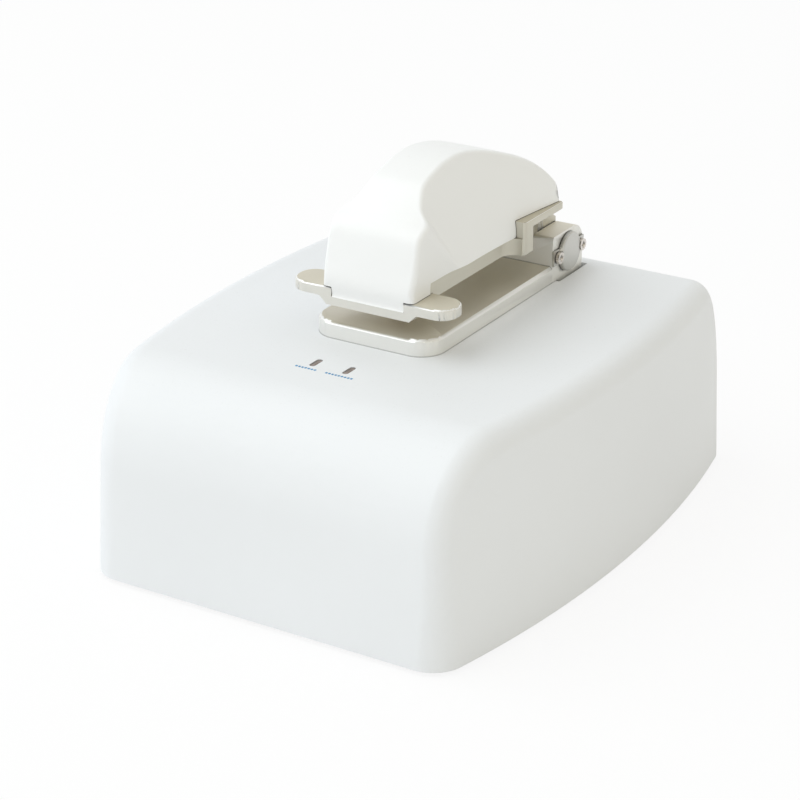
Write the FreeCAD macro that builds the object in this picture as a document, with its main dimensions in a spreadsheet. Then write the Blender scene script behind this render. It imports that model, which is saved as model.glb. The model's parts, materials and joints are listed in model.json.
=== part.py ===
import FreeCAD, Part
import math
import os
import re

import Sketcher

# Micro-volume spectrophotometer: a rounded bench housing, a metal stage and a hinged measuring arm.
# Millimetres, +Z up, +Y towards the rear panel, origin on the bench under the middle of the housing.

SIZES = {
    # Housing
    "foot_gap": 2.0,
    "shell_height": 97.2,
    "shell_width": 214.9,
    "front_width": 180.7,
    "back_width": 186.7,
    "widest_place": 8.6,
    "shell_depth": 268.0,
    "draft_ratio": 0.00031,
    "wall": 3.0,
    "front_corner": 16.0,
    "back_corner": 11.0,
    "edge_round": 11.5,
    "front_sweep": 40.3,
    "front_fall": 45.5,
    "back_sweep": 28.4,
    "back_fall": 55.0,
    "hollow_front_round": 42.0,
    "hollow_back_round": 45.0,
    "hollow_bevel": 9.0,
    "boss_place_x": 78.0,
    "boss_place_y": 88.0,
    "boss_radius": 4.0,
    # Chassis and feet
    "chassis_lift": 1.0,
    "chassis_thickness": 2.0,
    "chassis_clearance": 0.4,
    "foot_radius": 8.0,
    "foot_place_x": 72.0,
    "foot_place_y": 106.0,
    "vent_length": 36.0,
    "vent_width": 3.0,
    "vent_pitch": 8.0,
    # Stage plate
    "stage_half": 31.8,
    "stage_front": 43.6,
    "stage_rear": 68.3,
    "stage_thickness": 8.0,
    "stage_corner": 12.0,
    "stage_chamfer": 1.3,
    "stiffener_thickness": 2.0,
    "stage_screw_x": 24.0,
    "stage_screw_front": 30.0,
    "stage_screw_rear": 50.0,
    # Hinge bracket, axis height over the deck
    "hinge_place": 82.8,
    "hinge_rise": 12.0,
    "bracket_rear": 98.8,
    "bracket_height": 22.2,
    "bracket_round": 9.0,
    "bracket_chamfer": 1.6,
    "slot_half": 21.0,
    "slot_gap": 1.0,
    "front_web_height": 14.0,
    "tenon_step": 5.6,
    "tenon_depth": 15.0,
    "cutout_gap": 1.9,
    "knuckle_half": 20.5,
    "knuckle_radius": 9.0,
    "shaft_radius": 4.0,
    "shaft_clearance": 0.06,
    "bush_radius": 5.5,
    # Rotary damper on the right cheek
    "damper_disc": 9.4,
    "damper_proud": 2.5,
    "damper_boss": 7.0,
    "damper_boss_depth": 4.0,
    "ear_reach": 14.9,
    "ear_half": 3.75,
    "ear_thickness": 1.0,
    "ear_screw_place": 11.15,
    "head_clearance": 0.25,
    # Arm
    "arm_rise": 22.2,
    "arm_thickness": 8.0,
    "arm_half": 23.1,
    "arm_front": 30.2,
    "tongue_front": 42.5,
    "tongue_half": 20.6,
    "leg_front": 41.1,
    "leg_depth": 7.4,
    "leg_chamfer": 1.4,
    "flare_radius": 7.2,
    "bar_rise": 38.2,
    "bar_thickness": 4.0,
    "bar_rear": 77.0,
    "neck_shoulder": 24.3,
    # Finger bar
    "finger_front": 45.1,
    "finger_rear": 27.5,
    "finger_rise": 25.1,
    "ear_underside": 20.2,
    "finger_underside": 16.6,
    "finger_tip": 41.3,
    "finger_tip_round": 8.0,
    "finger_core": 21.5,
    "lip_half": 18.8,
    "lip_depth": 2.2,
    "lip_underside": 20.6,
    # Arm cover
    "cover_wall": 2.0,
    "cover_front_half": 23.8,
    "cover_seam": 0.2,
    "cover_edge": 2.8,
    "cover_end": 76.1,
    "cover_hub": 3.0,
    # Measuring pedestals
    "pedestal_place": 18.0,
    "pedestal_tip": 2.6,
    "pedestal_body": 4.0,
    "pedestal_flange": 7.0,
    "sample_rise": 14.4,
    "path_gap": 1.0,
    "plunger_radius": 3.2,
    "plunger_clearance": 0.08,
    "sleeve_radius": 6.0,
    "fit_gap": 0.1,
    # Path motor
    "motor_radius": 9.0,
    "motor_height": 12.0,
    "motor_lift": 9.0,
    "motor_plate": 1.5,
    "motor_bracket_half": 13.0,
    "motor_screw": 1.5,
    # Indicator lights
    "light_centre": -1.6,
    "light_spacing": 17.0,
    "light_place": 71.0,
    "light_length": 8.6,
    "light_width": 3.0,
    # Rear panel
    "window_half": 45.0,
    "window_low": 14.0,
    "window_high": 40.0,
    "panel_recess": 5.4,
    "panel_thickness": 2.0,
    "panel_margin": 6.0,
    "usb_place": -24.0,
    "usb_half_width": 6.0,
    "usb_half_height": 5.5,
    "usb_depth": 16.0,
    "jack_place": 0.0,
    "jack_radius": 5.5,
    "jack_bore": 3.2,
    "jack_pin": 1.0,
    "jack_depth": 13.0,
    "switch_place": 26.0,
    "switch_half_width": 7.5,
    "switch_half_height": 10.5,
    "switch_depth": 14.0,
    "rocker_half_width": 4.6,
    "rocker_half_height": 7.2,
    "rocker_gap": 0.5,
    "pivot_radius": 1.0,
    "pivot_reach": 1.1,
    "socket_height": 25.0,
    # Inner frame and modules
    "frame_half": 30.0,
    "frame_sheet": 2.0,
    "frame_front": 60.0,
    "frame_rear": 97.0,
    "lamp_half": 20.0,
    "lamp_front": 46.0,
    "lamp_rear": 6.0,
    "lamp_height": 52.0,
    "fibre_radius": 1.5,
    "spectrometer_left": 34.0,
    "spectrometer_right": 86.0,
    "spectrometer_front": 60.0,
    "spectrometer_rear": 40.0,
    "spectrometer_height": 34.0,
    "board_left": 86.0,
    "board_right": 30.0,
    "board_front": 60.0,
    "board_rear": 66.0,
    "board_lift": 8.0,
    "board_thickness": 1.6,
    "standoff_radius": 3.0,
    "standoff_inset": 5.0,
    # Screws: small pan heads and socket heads
    "head_radius": 2.9,
    "head_height": 1.9,
    "thread_radius": 1.5,
    "recess_width": 0.7,
    "recess_reach": 1.7,
    "recess_depth": 1.0,
    "key_radius": 1.4,
    "chassis_screw_length": 12.0,
    "leg_screw_length": 12.0,
    "finger_screw_length": 9.0,
    "cover_screw_length": 11.0,
}

# Cross-sections of the arm cover, which fan out from a line across the arm, from the nose up over the
# hump to the rear: place and rise of the upper side's edge, half width there, half width at the fan's
# line, and how far the middle of the upper side stands proud of its edges.
COVER_STATIONS = (
    (-43.7, 35.8, 23.8, 23.6, 0.3),
    (-41.0, 46.2, 23.7, 24.0, 0.4),
    (-37.6, 54.0, 23.5, 24.6, 0.5),
    (-31.4, 57.9, 22.9, 25.3, 1.6),
    (-28.0, 61.8, 18.2, 26.7, 1.0),
    (-24.5, 65.8, 15.6, 27.2, 0.5),
    (-20.0, 69.8, 13.9, 27.5, 0.3),
    (-12.0, 73.2, 13.2, 27.6, 0.2),
    (-3.0, 75.6, 13.0, 27.6, 0.2),
    (8.0, 76.7, 13.1, 27.6, 0.2),
    (18.0, 75.9, 13.2, 27.7, 0.2),
    (32.0, 72.8, 14.6, 27.6, 0.2),
    (46.0, 68.3, 17.5, 27.4, 0.2),
    (58.0, 63.2, 21.3, 26.8, 0.2),
    (68.0, 57.0, 24.8, 26.1, 0.3),
    (76.1, 49.2, 28.1, 25.1, 0.4),
    (83.0, 38.6, 31.2, 22.9, 0.4),
    (88.5, 28.0, 34.0, 22.0, 0.4),
)
STATION_PARTS = ("place", "rise", "half", "hub_half", "crown")
for station, values in enumerate(COVER_STATIONS):
    for part_name, value in zip(STATION_PARTS, values):
        SIZES[f"cover_{station}_{part_name}"] = value

NODES = []

doc = FreeCAD.newDocument("spectrophotometer")
sheet = doc.addObject("Spreadsheet::Sheet", "Sizes")
for row, (alias, number) in enumerate(SIZES.items(), start=1):
    sheet.set(f"A{row}", alias)
    sheet.set(f"B{row}", str(number))
    sheet.setAlias(f"B{row}", alias)
doc.recompute()


def cell(alias):
    """Read one driving size from the sheet."""
    return float(sheet.get(alias))


def bound(text):
    """Turn the size names in an expression into references to the sheet's cells."""
    def refer(word):
        name = word.group(0)
        return f"Sizes.{name}" if name in SIZES else name
    return re.sub(r"[a-z][a-z_0-9]*", refer, text)


# Heights that several pieces share, as expressions of the sheet's sizes
DECK = "(foot_gap + shell_height)"
UNDER_DECK = f"({DECK} - wall)"
STAGE_TOP = f"({DECK} + stage_thickness)"
AXIS_HEIGHT = f"({DECK} + hinge_rise)"
BRACKET_TOP = f"({DECK} + bracket_height)"
ARM_UNDER = f"({DECK} + arm_rise)"
ARM_TOP = f"({ARM_UNDER} + arm_thickness)"
BAR_TOP = f"({DECK} + bar_rise)"
FINGER_TOP = f"({DECK} + finger_rise)"
CHASSIS_UNDER = "(foot_gap + chassis_lift)"
CHASSIS_TOP = f"({CHASSIS_UNDER} + chassis_thickness)"
SAMPLE_PLANE = f"({DECK} + sample_rise)"
PLUNGER_FACE = f"({SAMPLE_PLANE} + path_gap)"
TENON_FOOT = f"({DECK} - tenon_depth)"
MOTOR_SEAT = f"({ARM_TOP} + motor_lift)"
SOCKETS = "(foot_gap + socket_height)"
PANEL = "(shell_depth / 2 - panel_recess)"
PANEL_BACK = f"({PANEL} - panel_thickness)"
PIVOT = f"({PANEL} - 2)"

deck = cell("foot_gap") + cell("shell_height")

TURNS = {
    "+z": FreeCAD.Rotation(),
    "-z": FreeCAD.Rotation(FreeCAD.Vector(1, 0, 0), 180),
    "+x": FreeCAD.Rotation(FreeCAD.Vector(0, 1, 0), 90),
    "-x": FreeCAD.Rotation(FreeCAD.Vector(0, 1, 0), -90),
    "+y": FreeCAD.Rotation(FreeCAD.Vector(1, 0, 0), -90),
    "-y": FreeCAD.Rotation(FreeCAD.Vector(1, 0, 0), 90),
}
OPPOSITE = {"+x": "-x", "-x": "+x", "+y": "-y", "-y": "+y", "+z": "-z", "-z": "+z"}


def node(feature, name):
    """Name a finished piece, which is then checked and written under that name."""
    feature.Label = name
    NODES.append(feature)
    return feature


def put(feature, site, way="+z"):
    """Place a primitive: its own Z axis along the given way, its foot at the site."""
    feature.Placement = FreeCAD.Placement(FreeCAD.Vector(), TURNS[way])
    for axis, text in zip("xyz", site):
        feature.setExpression(f"Placement.Base.{axis}", bound(text))
    return feature


def block(x_span, y_span, z_span):
    """A box between pairs of expressions."""
    box = doc.addObject("Part::Box", "block")
    for prop, span in (("Length", x_span), ("Width", y_span), ("Height", z_span)):
        box.setExpression(prop, bound(f"({span[1]}) - ({span[0]})"))
    return put(box, (x_span[0], y_span[0], z_span[0]))


def rod(way, site, radius, length):
    """A cylinder that starts at the site and runs along the given way."""
    cylinder = doc.addObject("Part::Cylinder", "rod")
    cylinder.setExpression("Radius", bound(radius))
    cylinder.setExpression("Height", bound(length))
    return put(cylinder, site, way)


def cone(way, site, foot_radius, end_radius, length):
    """A cone frustum that starts at the site and runs along the given way."""
    frustum = doc.addObject("Part::Cone", "cone")
    frustum.setExpression("Radius1", bound(foot_radius))
    frustum.setExpression("Radius2", bound(end_radius))
    frustum.setExpression("Height", bound(length))
    return put(frustum, site, way)


def hexagon(way, site, radius, length):
    """A hexagonal prism, such as a key socket."""
    prism = doc.addObject("Part::Prism", "hexagon")
    prism.Polygon = 6
    prism.setExpression("Circumradius", bound(radius))
    prism.setExpression("Height", bound(length))
    return put(prism, site, way)


def fuse(parts):
    joined = doc.addObject("Part::MultiFuse", "joined")
    joined.Shapes = parts
    return joined


def group(parts):
    """Separate solids that share one node."""
    together = doc.addObject("Part::Compound", "together")
    together.Links = parts
    return together


def cut(base, tools):
    remains = doc.addObject("Part::Cut", "remains")
    remains.Base = base
    remains.Tool = tools[0] if len(tools) == 1 else fuse(tools)
    return remains


def common(first, second):
    shared = doc.addObject("Part::Common", "shared")
    shared.Base = first
    shared.Tool = second
    return shared


def form(shape, name):
    """A shape worked out from the sheet's sizes by Part's own functions."""
    feature = doc.addObject("Part::Feature", name)
    feature.Shape = shape
    return feature


def edged(kind, base, sizes):
    """Fillet or chamfer the edges for which sizes(edge) gives the size at each end."""
    doc.recompute()
    chosen = []
    for number, edge in enumerate(base.Shape.Edges, start=1):
        pair = sizes(edge)
        if pair:
            chosen.append((number, pair[0], pair[1]))
    feature = doc.addObject(f"Part::{kind}", kind.lower())
    feature.Base = base
    feature.Edges = chosen
    return feature


def middle(edge):
    """The point half-way along an edge."""
    return edge.valueAt((edge.FirstParameter + edge.LastParameter) / 2)


def soft_corner(before, corner, after, radius):
    """Start, middle and end of the arc that rounds off a corner between two points."""
    back = (before - corner).normalize()
    ahead = (after - corner).normalize()
    half_turn = (math.pi - back.getAngle(ahead)) / 2
    reach = radius * math.tan(half_turn)
    bisector = (back + ahead).normalize()
    sagitta = radius * (1 / math.cos(half_turn) - 1)
    return corner + back * reach, corner + bisector * sagitta, corner + ahead * reach


# Sketched bodies


def new_body(name):
    body = doc.addObject("PartDesign::Body", name)
    return body


def polygon(body, role, corners, lift="0", holes=()):
    """A closed sketch on one of the body's origin planes, its corners driven by expressions."""
    sketch = body.newObject("Sketcher::SketchObject", "outline")
    plane = [part for part in body.Origin.OriginFeatures if part.Role == role][0]
    sketch.AttachmentSupport = (plane, [""])
    sketch.MapMode = "FlatFace"
    sketch.setExpression("AttachmentOffset.Base.z", bound(lift))
    for loop in (corners,) + tuple(holes):
        add_loop(sketch, loop)
    return sketch


def add_loop(sketch, corners):
    """Add one closed run of lines, every corner fixed by its distances from the origin."""
    count = len(corners)
    first = sketch.GeometryCount
    for index in range(count):
        turn = 2 * math.pi * index / count
        ahead = 2 * math.pi * (index + 1) / count
        start = FreeCAD.Vector(math.cos(turn), math.sin(turn), 0)
        end = FreeCAD.Vector(math.cos(ahead), math.sin(ahead), 0)
        sketch.addGeometry(Part.LineSegment(start, end), False)
    for index, corner in enumerate(corners):
        line = first + index
        last = first + (index - 1) % count
        sketch.addConstraint(Sketcher.Constraint("Coincident", last, 2, line, 1))
        for kind, text in zip(("DistanceX", "DistanceY"), corner):
            number = sketch.addConstraint(Sketcher.Constraint(kind, -1, 1, line, 1, 1.0))
            sketch.setExpression(f"Constraints[{number}]", bound(text))


def rectangle(u_span, v_span):
    """The four corners of a rectangle between pairs of expressions."""
    return [(u_span[0], v_span[0]), (u_span[1], v_span[0]), (u_span[1], v_span[1]), (u_span[0], v_span[1])]


def pad(body, sketch, length, midplane=False, reverse=False):
    feature = body.newObject("PartDesign::Pad", "pad")
    feature.Profile = sketch
    feature.setExpression("Length", bound(length))
    feature.Midplane = midplane
    feature.Reversed = reverse
    return feature


def pocket(body, sketch, length, midplane=False, reverse=False):
    feature = body.newObject("PartDesign::Pocket", "pocket")
    feature.Profile = sketch
    feature.setExpression("Length", bound(length))
    feature.Midplane = midplane
    feature.Reversed = reverse
    return feature


def dress(body, kind, amount, keep):
    """Fillet or chamfer the edges of the body's tip for which keep(edge) is true."""
    doc.recompute()
    base = body.Tip
    names = [f"Edge{number}" for number, edge in enumerate(base.Shape.Edges, start=1) if keep(edge)]
    feature = body.newObject(f"PartDesign::{kind}", kind.lower())
    feature.Base = (base, names)
    feature.setExpression("Radius" if kind == "Fillet" else "Size", bound(amount))
    return feature


def runs_along(edge, axis):
    """True for a straight edge along one axis."""
    box = edge.BoundBox
    spans = {"x": box.XLength, "y": box.YLength, "z": box.ZLength}
    return all(span < 0.001 for name, span in spans.items() if name != axis)


# Screws


def screw(way, seat, length, recess):
    """A pan-head screw: its head sits on the seat and its thread runs along the given way."""
    head = rod(OPPOSITE[way], seat, "head_radius", "head_height")
    thread = rod(way, seat, "thread_radius", length)
    axis = way[1]
    sign = "-" if way[0] == "+" else "+"
    mouth = list(seat)
    place = "xyz".index(axis)
    mouth[place] = f"({seat[place]}) {sign} head_height"
    if recess == "key":
        return cut(fuse([head, thread]), [hexagon(way, mouth, "key_radius", "recess_depth")])
    slots = []
    for long_side, short_side in ((0, 1), (1, 0)):
        across = [name for name in "xyz" if name != axis]
        spans = {}
        for side, half in ((long_side, "recess_reach"), (short_side, "recess_width / 2")):
            centre = seat["xyz".index(across[side])]
            spans[across[side]] = (f"({centre}) - {half}", f"({centre}) + {half}")
        deep = f"({seat[place]}) {sign} (head_height - recess_depth)"
        top = f"({seat[place]}) {sign} (head_height + 1)"
        spans[axis] = (deep, top) if sign == "+" else (top, deep)
        slots.append(block(spans["x"], spans["y"], spans["z"]))
    return cut(fuse([head, thread]), slots)


def screws(name, way, seats, length, recess="cross"):
    return node(group([screw(way, seat, length, recess) for seat in seats]), name)


# Housing outline: one long arc a side, and the walls lean in with the draft


def side_arc():
    """The circle of one side wall at the foot: through its front end, its widest place and its back end."""
    front = FreeCAD.Vector(cell("front_width") / 2, -cell("shell_depth") / 2, 0)
    widest = FreeCAD.Vector(cell("shell_width") / 2, cell("widest_place"), 0)
    back = FreeCAD.Vector(cell("back_width") / 2, cell("shell_depth") / 2, 0)
    return Part.Arc(front, widest, back).toShape().Curve


def side_reach(y, inset):
    """Half-width of the foot outline at one depth, moved in by the inset."""
    circle = side_arc()
    return circle.Center.x + math.sqrt((circle.Radius - inset) ** 2 - (y - circle.Center.y) ** 2)


def shrink(rise):
    """Share of its foot size that the outline keeps at one height above the foot."""
    return 1 - cell("draft_ratio") * rise


def outline_point(y, side, inset, rise):
    scale = shrink(rise)
    return FreeCAD.Vector(side * side_reach(y, inset) * scale, y * scale, cell("foot_gap") + rise)


def barrel_wire(inset, rise, reach):
    """Outline of the bowed side walls at one height, cut off square past both ends."""
    right = [outline_point(y, 1, inset, rise) for y in (-reach, 0, reach)]
    left = [outline_point(y, -1, inset, rise) for y in (-reach, 0, reach)]
    edges = [
        Part.Arc(*right).toShape(),
        Part.makeLine(right[2], left[2]),
        Part.Arc(left[2], left[1], left[0]).toShape(),
        Part.makeLine(left[0], right[0]),
    ]
    return Part.Wire(edges)


def end_point(side, inset, rise):
    """A point of the front or rear wall in the side view, at one height above the foot."""
    half = cell("shell_depth") / 2 - inset
    return FreeCAD.Vector(0, side * half * shrink(rise), cell("foot_gap") + rise)


def swept_corner(side, inset):
    """Start, end and curve of the long sweep from a leaning end wall over to the level deck."""
    sweep = cell("front_sweep" if side < 0 else "back_sweep") - inset
    fall = cell("front_fall" if side < 0 else "back_fall") - inset
    top = cell("shell_height") - inset
    start = end_point(side, inset, top - fall)
    lean = (start - end_point(side, inset, 0)).normalize()
    end = FreeCAD.Vector(0, start.y - side * sweep, cell("foot_gap") + top)
    bow = 0.5523
    curve = Part.BezierCurve()
    curve.setPoles([start, start + lean * (bow * fall), end + FreeCAD.Vector(0, side * bow * sweep, 0), end])
    return start, end, curve.toShape()


def hollow_corner(side, inset):
    """Start, end and arc of the inside corner between a leaning end wall and the deck."""
    radius = cell("hollow_front_round" if side < 0 else "hollow_back_round")
    corner = end_point(side, inset, cell("shell_height") - inset)
    below = end_point(side, inset, 0)
    inward = corner - FreeCAD.Vector(0, side, 0)
    start, halfway, end = soft_corner(below, corner, inward, radius)
    return start, end, Part.Arc(start, halfway, end).toShape()


def long_profile(inset, foot_rise, corner):
    """Side view of the housing: leaning ends that turn over into a level deck."""
    front_foot = end_point(-1, inset, foot_rise)
    back_foot = end_point(1, inset, foot_rise)
    front_start, front_end, front_curve = corner(-1, inset)
    back_start, back_end, back_curve = corner(1, inset)
    edges = [
        Part.makeLine(front_foot, front_start), front_curve, Part.makeLine(front_end, back_end),
        back_curve, Part.makeLine(back_start, back_foot), Part.makeLine(back_foot, front_foot),
    ]
    return Part.Wire(Part.__sortEdges__(edges))


def housing_block(inset, foot_rise, corner):
    """The housing's block before its side edges are worked, moved in by the inset."""
    overshoot = 12.0
    reach = cell("shell_depth") / 2 + overshoot
    top = cell("shell_height") + overshoot
    walls = Part.makeLoft([barrel_wire(inset, foot_rise, reach), barrel_wire(inset, top, reach)], True, True)
    span = cell("shell_width") + overshoot
    profile = long_profile(inset, foot_rise, corner)
    profile.translate(FreeCAD.Vector(-span / 2, 0, 0))
    ribbon = Part.Face(profile).extrude(FreeCAD.Vector(span, 0, 0))
    return common(form(walls, "side_walls"), form(ribbon, "end_walls"))


def is_side_edge(edge, foot_rise):
    """True where a side wall meets an end wall or the deck."""
    point = middle(edge)
    return abs(point.x) > cell("front_width") / 4 and point.z > cell("foot_gap") + foot_rise + 1


def housing_skin():
    """The outer form, its side edges rounded from the corner radii at the walls to the deck's radius."""
    def radius_at(point):
        if point.z > deck - 0.5:
            return cell("edge_round")
        return cell("front_corner" if point.y < 0 else "back_corner")

    def radii(edge):
        if not is_side_edge(edge, 0):
            return None
        ends = edge.Vertexes
        return radius_at(ends[0].Point), radius_at(ends[-1].Point)

    return edged("Fillet", housing_block(0, 0, swept_corner), radii)


def housing_hollow():
    """The space inside, one wall smaller all round, its side edges cut off flat."""
    below = -2.0
    bevel = cell("hollow_bevel")
    return edged("Chamfer", housing_block(cell("wall"), below, hollow_corner),
                 lambda edge: (bevel, bevel) if is_side_edge(edge, below) else None)


def housing_shell():
    """The moulded housing with its deck openings, rear window and screw bosses."""
    hollow = cut(housing_skin(), [housing_hollow()])
    bosses = []
    bores = []
    for side_x in ("-", ""):
        for side_y in ("-", ""):
            site = (f"{side_x}boss_place_x", f"{side_y}boss_place_y", CHASSIS_TOP)
            bosses.append(rod("+z", site, "boss_radius", f"{UNDER_DECK} - {CHASSIS_TOP} + wall / 2"))
            bores.append(rod("+z", site, "thread_radius", "chassis_screw_length"))
    frame_height = ("foot_gap + window_low - panel_margin", "foot_gap + window_high + panel_margin")
    frame_span = ("-window_half - panel_margin", "window_half + panel_margin")
    frame = block(frame_span, (PANEL, f"{PANEL} + 2.2"), frame_height)
    solid = fuse([hollow, frame] + bosses)
    window = block(("-window_half", "window_half"), (f"{PANEL} - 1", "shell_depth / 2 + 1"),
                   ("foot_gap + window_low", "foot_gap + window_high"))
    step = "(stage_rear + tenon_step - cutout_gap)"
    opening = block(("-stage_half - cutout_gap", "stage_half + cutout_gap"),
                    (step, "bracket_rear + cutout_gap"), (f"{TENON_FOOT} - 1", f"{DECK} + 1"))
    tools = [window, opening] + bores
    for place in light_places():
        tools.append(light_form(place, "0", f"{UNDER_DECK} - 1", "wall + 2"))
    for x, y in stage_seats():
        tools.append(rod("+z", (x, y, f"{UNDER_DECK} - 1"), "thread_radius + fit_gap", "wall + 2"))
    site = ("0", "-pedestal_place", f"{UNDER_DECK} - 1")
    tools.append(rod("+z", site, "pedestal_body + fit_gap", "wall + 2"))
    for side in ("-", ""):
        tools.append(rod("+y", (f"{side}(window_half + panel_margin / 2)", f"{PANEL} - 1", SOCKETS),
                         "thread_radius", "2.4"))
    node(cut(solid, tools), "housing_shell")


def light_places():
    return ("light_centre - light_spacing / 2", "light_centre + light_spacing / 2")


def light_form(place, shrink_by, low, height):
    """A slot-shaped prism: a box with round ends, long along the depth."""
    half_width = f"(light_width / 2 - {shrink_by})"
    half_straight = "(light_length / 2 - light_width / 2)"
    parts = [block((f"{place} - {half_width}", f"{place} + {half_width}"),
                   (f"-light_place - {half_straight}", f"-light_place + {half_straight}"),
                   (low, f"{low} + {height}"))]
    for sign in ("-", "+"):
        parts.append(rod("+z", (place, f"-light_place {sign} {half_straight}", low), half_width, height))
    return fuse(parts)


def stage_seats():
    """The four places of the screws that hold the stage plate, seen from above."""
    seats = []
    for side in ("-", ""):
        for along in ("-stage_screw_front", "stage_screw_rear"):
            seats.append((f"{side}stage_screw_x", along))
    return seats


# Chassis


def chassis_plate():
    """The bottom plate inside the housing's foot, its corners cut like the hollow's."""
    inset = cell("wall") + cell("chassis_clearance")
    half = cell("shell_depth") / 2
    walls = Part.Face(barrel_wire(inset, cell("chassis_lift"), half + 5))
    slab = form(walls.extrude(FreeCAD.Vector(0, 0, cell("chassis_thickness"))), "slab")
    limits = block(("-shell_width", "shell_width"),
                   ("-(shell_depth / 2 - wall - chassis_clearance - 0.2)",
                    "shell_depth / 2 - wall - chassis_clearance - 0.2"),
                   ("foot_gap", f"{CHASSIS_TOP} + 1"))
    blank = common(slab, limits)

    bevel = cell("hollow_bevel")
    plate = edged("Chamfer", blank, lambda edge: (bevel, bevel) if runs_along(edge, "z") else None)
    tools = []
    for side in ("-", ""):
        for index in range(6):
            along = f"(-60 + {index} * vent_pitch)"
            low = f"{side}60 - vent_length / 2"
            tools.append(block((low, f"{side}60 + vent_length / 2"), (along, f"{along} + vent_width"),
                               (f"{CHASSIS_UNDER} - 1", f"{CHASSIS_TOP} + 1")))
    for side_x in ("-", ""):
        for side_y in ("-", ""):
            site = (f"{side_x}boss_place_x", f"{side_y}boss_place_y", f"{CHASSIS_UNDER} - 1")
            tools.append(rod("+z", site, "thread_radius + fit_gap", "chassis_thickness + 2"))
    node(cut(plate, tools), "chassis_plate")


def rubber_feet():
    """Four turned rubber feet with a rounded tread and a recess in the middle."""
    feet = []
    for side_x in ("-", ""):
        for side_y in ("-", ""):
            x, y = f"{side_x}foot_place_x", f"{side_y}foot_place_y"
            tread = cone("+z", (x, y, "0"), "foot_radius - 0.8", "foot_radius", "0.8")
            body = rod("+z", (x, y, "0.8"), "foot_radius", f"{CHASSIS_UNDER} - 0.8")
            dimple = rod("+z", (x, y, "-1"), "foot_radius / 3", "2")
            feet.append(cut(fuse([tread, body]), [dimple]))
    node(group(feet), "rubber_feet")


def chassis_screws():
    seats = [(f"{side_x}boss_place_x", f"{side_y}boss_place_y", CHASSIS_UNDER)
             for side_x in ("-", "") for side_y in ("-", "")]
    screws("chassis_screws", "+z", seats, "chassis_screw_length")


# Stage


def stage_plate():
    """The satin metal stage under the arm, with round front corners and a broken top edge."""
    body = new_body("stage_body")
    outline = rectangle(("-stage_half", "stage_half"), ("-stage_front", "stage_rear"))
    pad(body, polygon(body, "XY_Plane", outline, DECK), "stage_thickness")
    dress(body, "Fillet", "stage_corner", lambda edge: runs_along(edge, "z") and middle(edge).y < 0)
    top = deck + cell("stage_thickness")
    rear = cell("stage_rear")
    dress(body, "Chamfer", "stage_chamfer",
          lambda edge: middle(edge).z > top - 0.01 and middle(edge).y < rear - 0.01)
    site = ("0", "-pedestal_place")
    tools = [
        rod("+z", site + (f"{DECK} - 1",), "pedestal_body + fit_gap", "stage_thickness + 2"),
        rod("+z", site + (f"{STAGE_TOP} - 1.2",), "pedestal_flange + fit_gap", "3"),
    ]
    for seat in stage_seats():
        tools.append(rod("+z", (seat[0], seat[1], f"{DECK} - 1"), "thread_radius", "stage_thickness - 1.5"))
    node(cut(body, tools), "stage_plate")


def stage_fixings():
    """The sheet under the deck that spreads the load, and the screws up into the stage."""
    low = f"({UNDER_DECK} - stiffener_thickness)"
    sheet_metal = block(("-stage_half - 8", "stage_half + 8"), ("-stage_front - 4", "stage_rear + 2"),
                        (low, UNDER_DECK))
    tools = [rod("+z", (x, y, f"{low} - 1"), "thread_radius + fit_gap", "stiffener_thickness + 2")
             for x, y in stage_seats()]
    tools.append(rod("+z", ("0", "-pedestal_place", f"{low} - 1"), "pedestal_body + fit_gap",
                     "stiffener_thickness + 2"))
    node(cut(sheet_metal, tools), "deck_stiffener")
    screws("stage_screws", "+z", [(x, y, low) for x, y in stage_seats()],
           "wall + stiffener_thickness + 5", "key")


def lower_pedestal():
    """The lower measuring pedestal: flange, neck and flat polished tip around the fibre."""
    site = ("0", "-pedestal_place")
    foot = f"({UNDER_DECK} - 6)"
    body = rod("+z", site + (foot,), "pedestal_body", f"{STAGE_TOP} - {foot}")
    flange = rod("+z", site + (f"{STAGE_TOP} - 1.2",), "pedestal_flange", "2.2")
    neck = cone("+z", site + (f"{STAGE_TOP} + 1",), "pedestal_body", "pedestal_tip", "2.4")
    tip = rod("+z", site + (f"{STAGE_TOP} + 3.4",), "pedestal_tip", f"{SAMPLE_PLANE} - {STAGE_TOP} - 3.4")
    bore = rod("+z", site + (f"{foot} - 1",), "(fibre_radius + fit_gap) / 2", f"{SAMPLE_PLANE} - {foot} + 2")
    socket = rod("+z", site + (f"{foot} - 1",), "fibre_radius + fit_gap", "5")
    node(cut(fuse([body, flange, neck, tip]), [bore, socket]), "lower_pedestal")
    core = rod("+z", site + (f"{foot} + 4",), "fibre_radius / 2", f"{SAMPLE_PLANE} - {foot} - 4")
    lead = rod("+z", site + (f"{CHASSIS_TOP} + lamp_height",), "fibre_radius",
               f"{foot} + 4 - {CHASSIS_TOP} - lamp_height")
    node(fuse([core, lead]), "source_fibre")


# Hinge bracket and what sits in it


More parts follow.
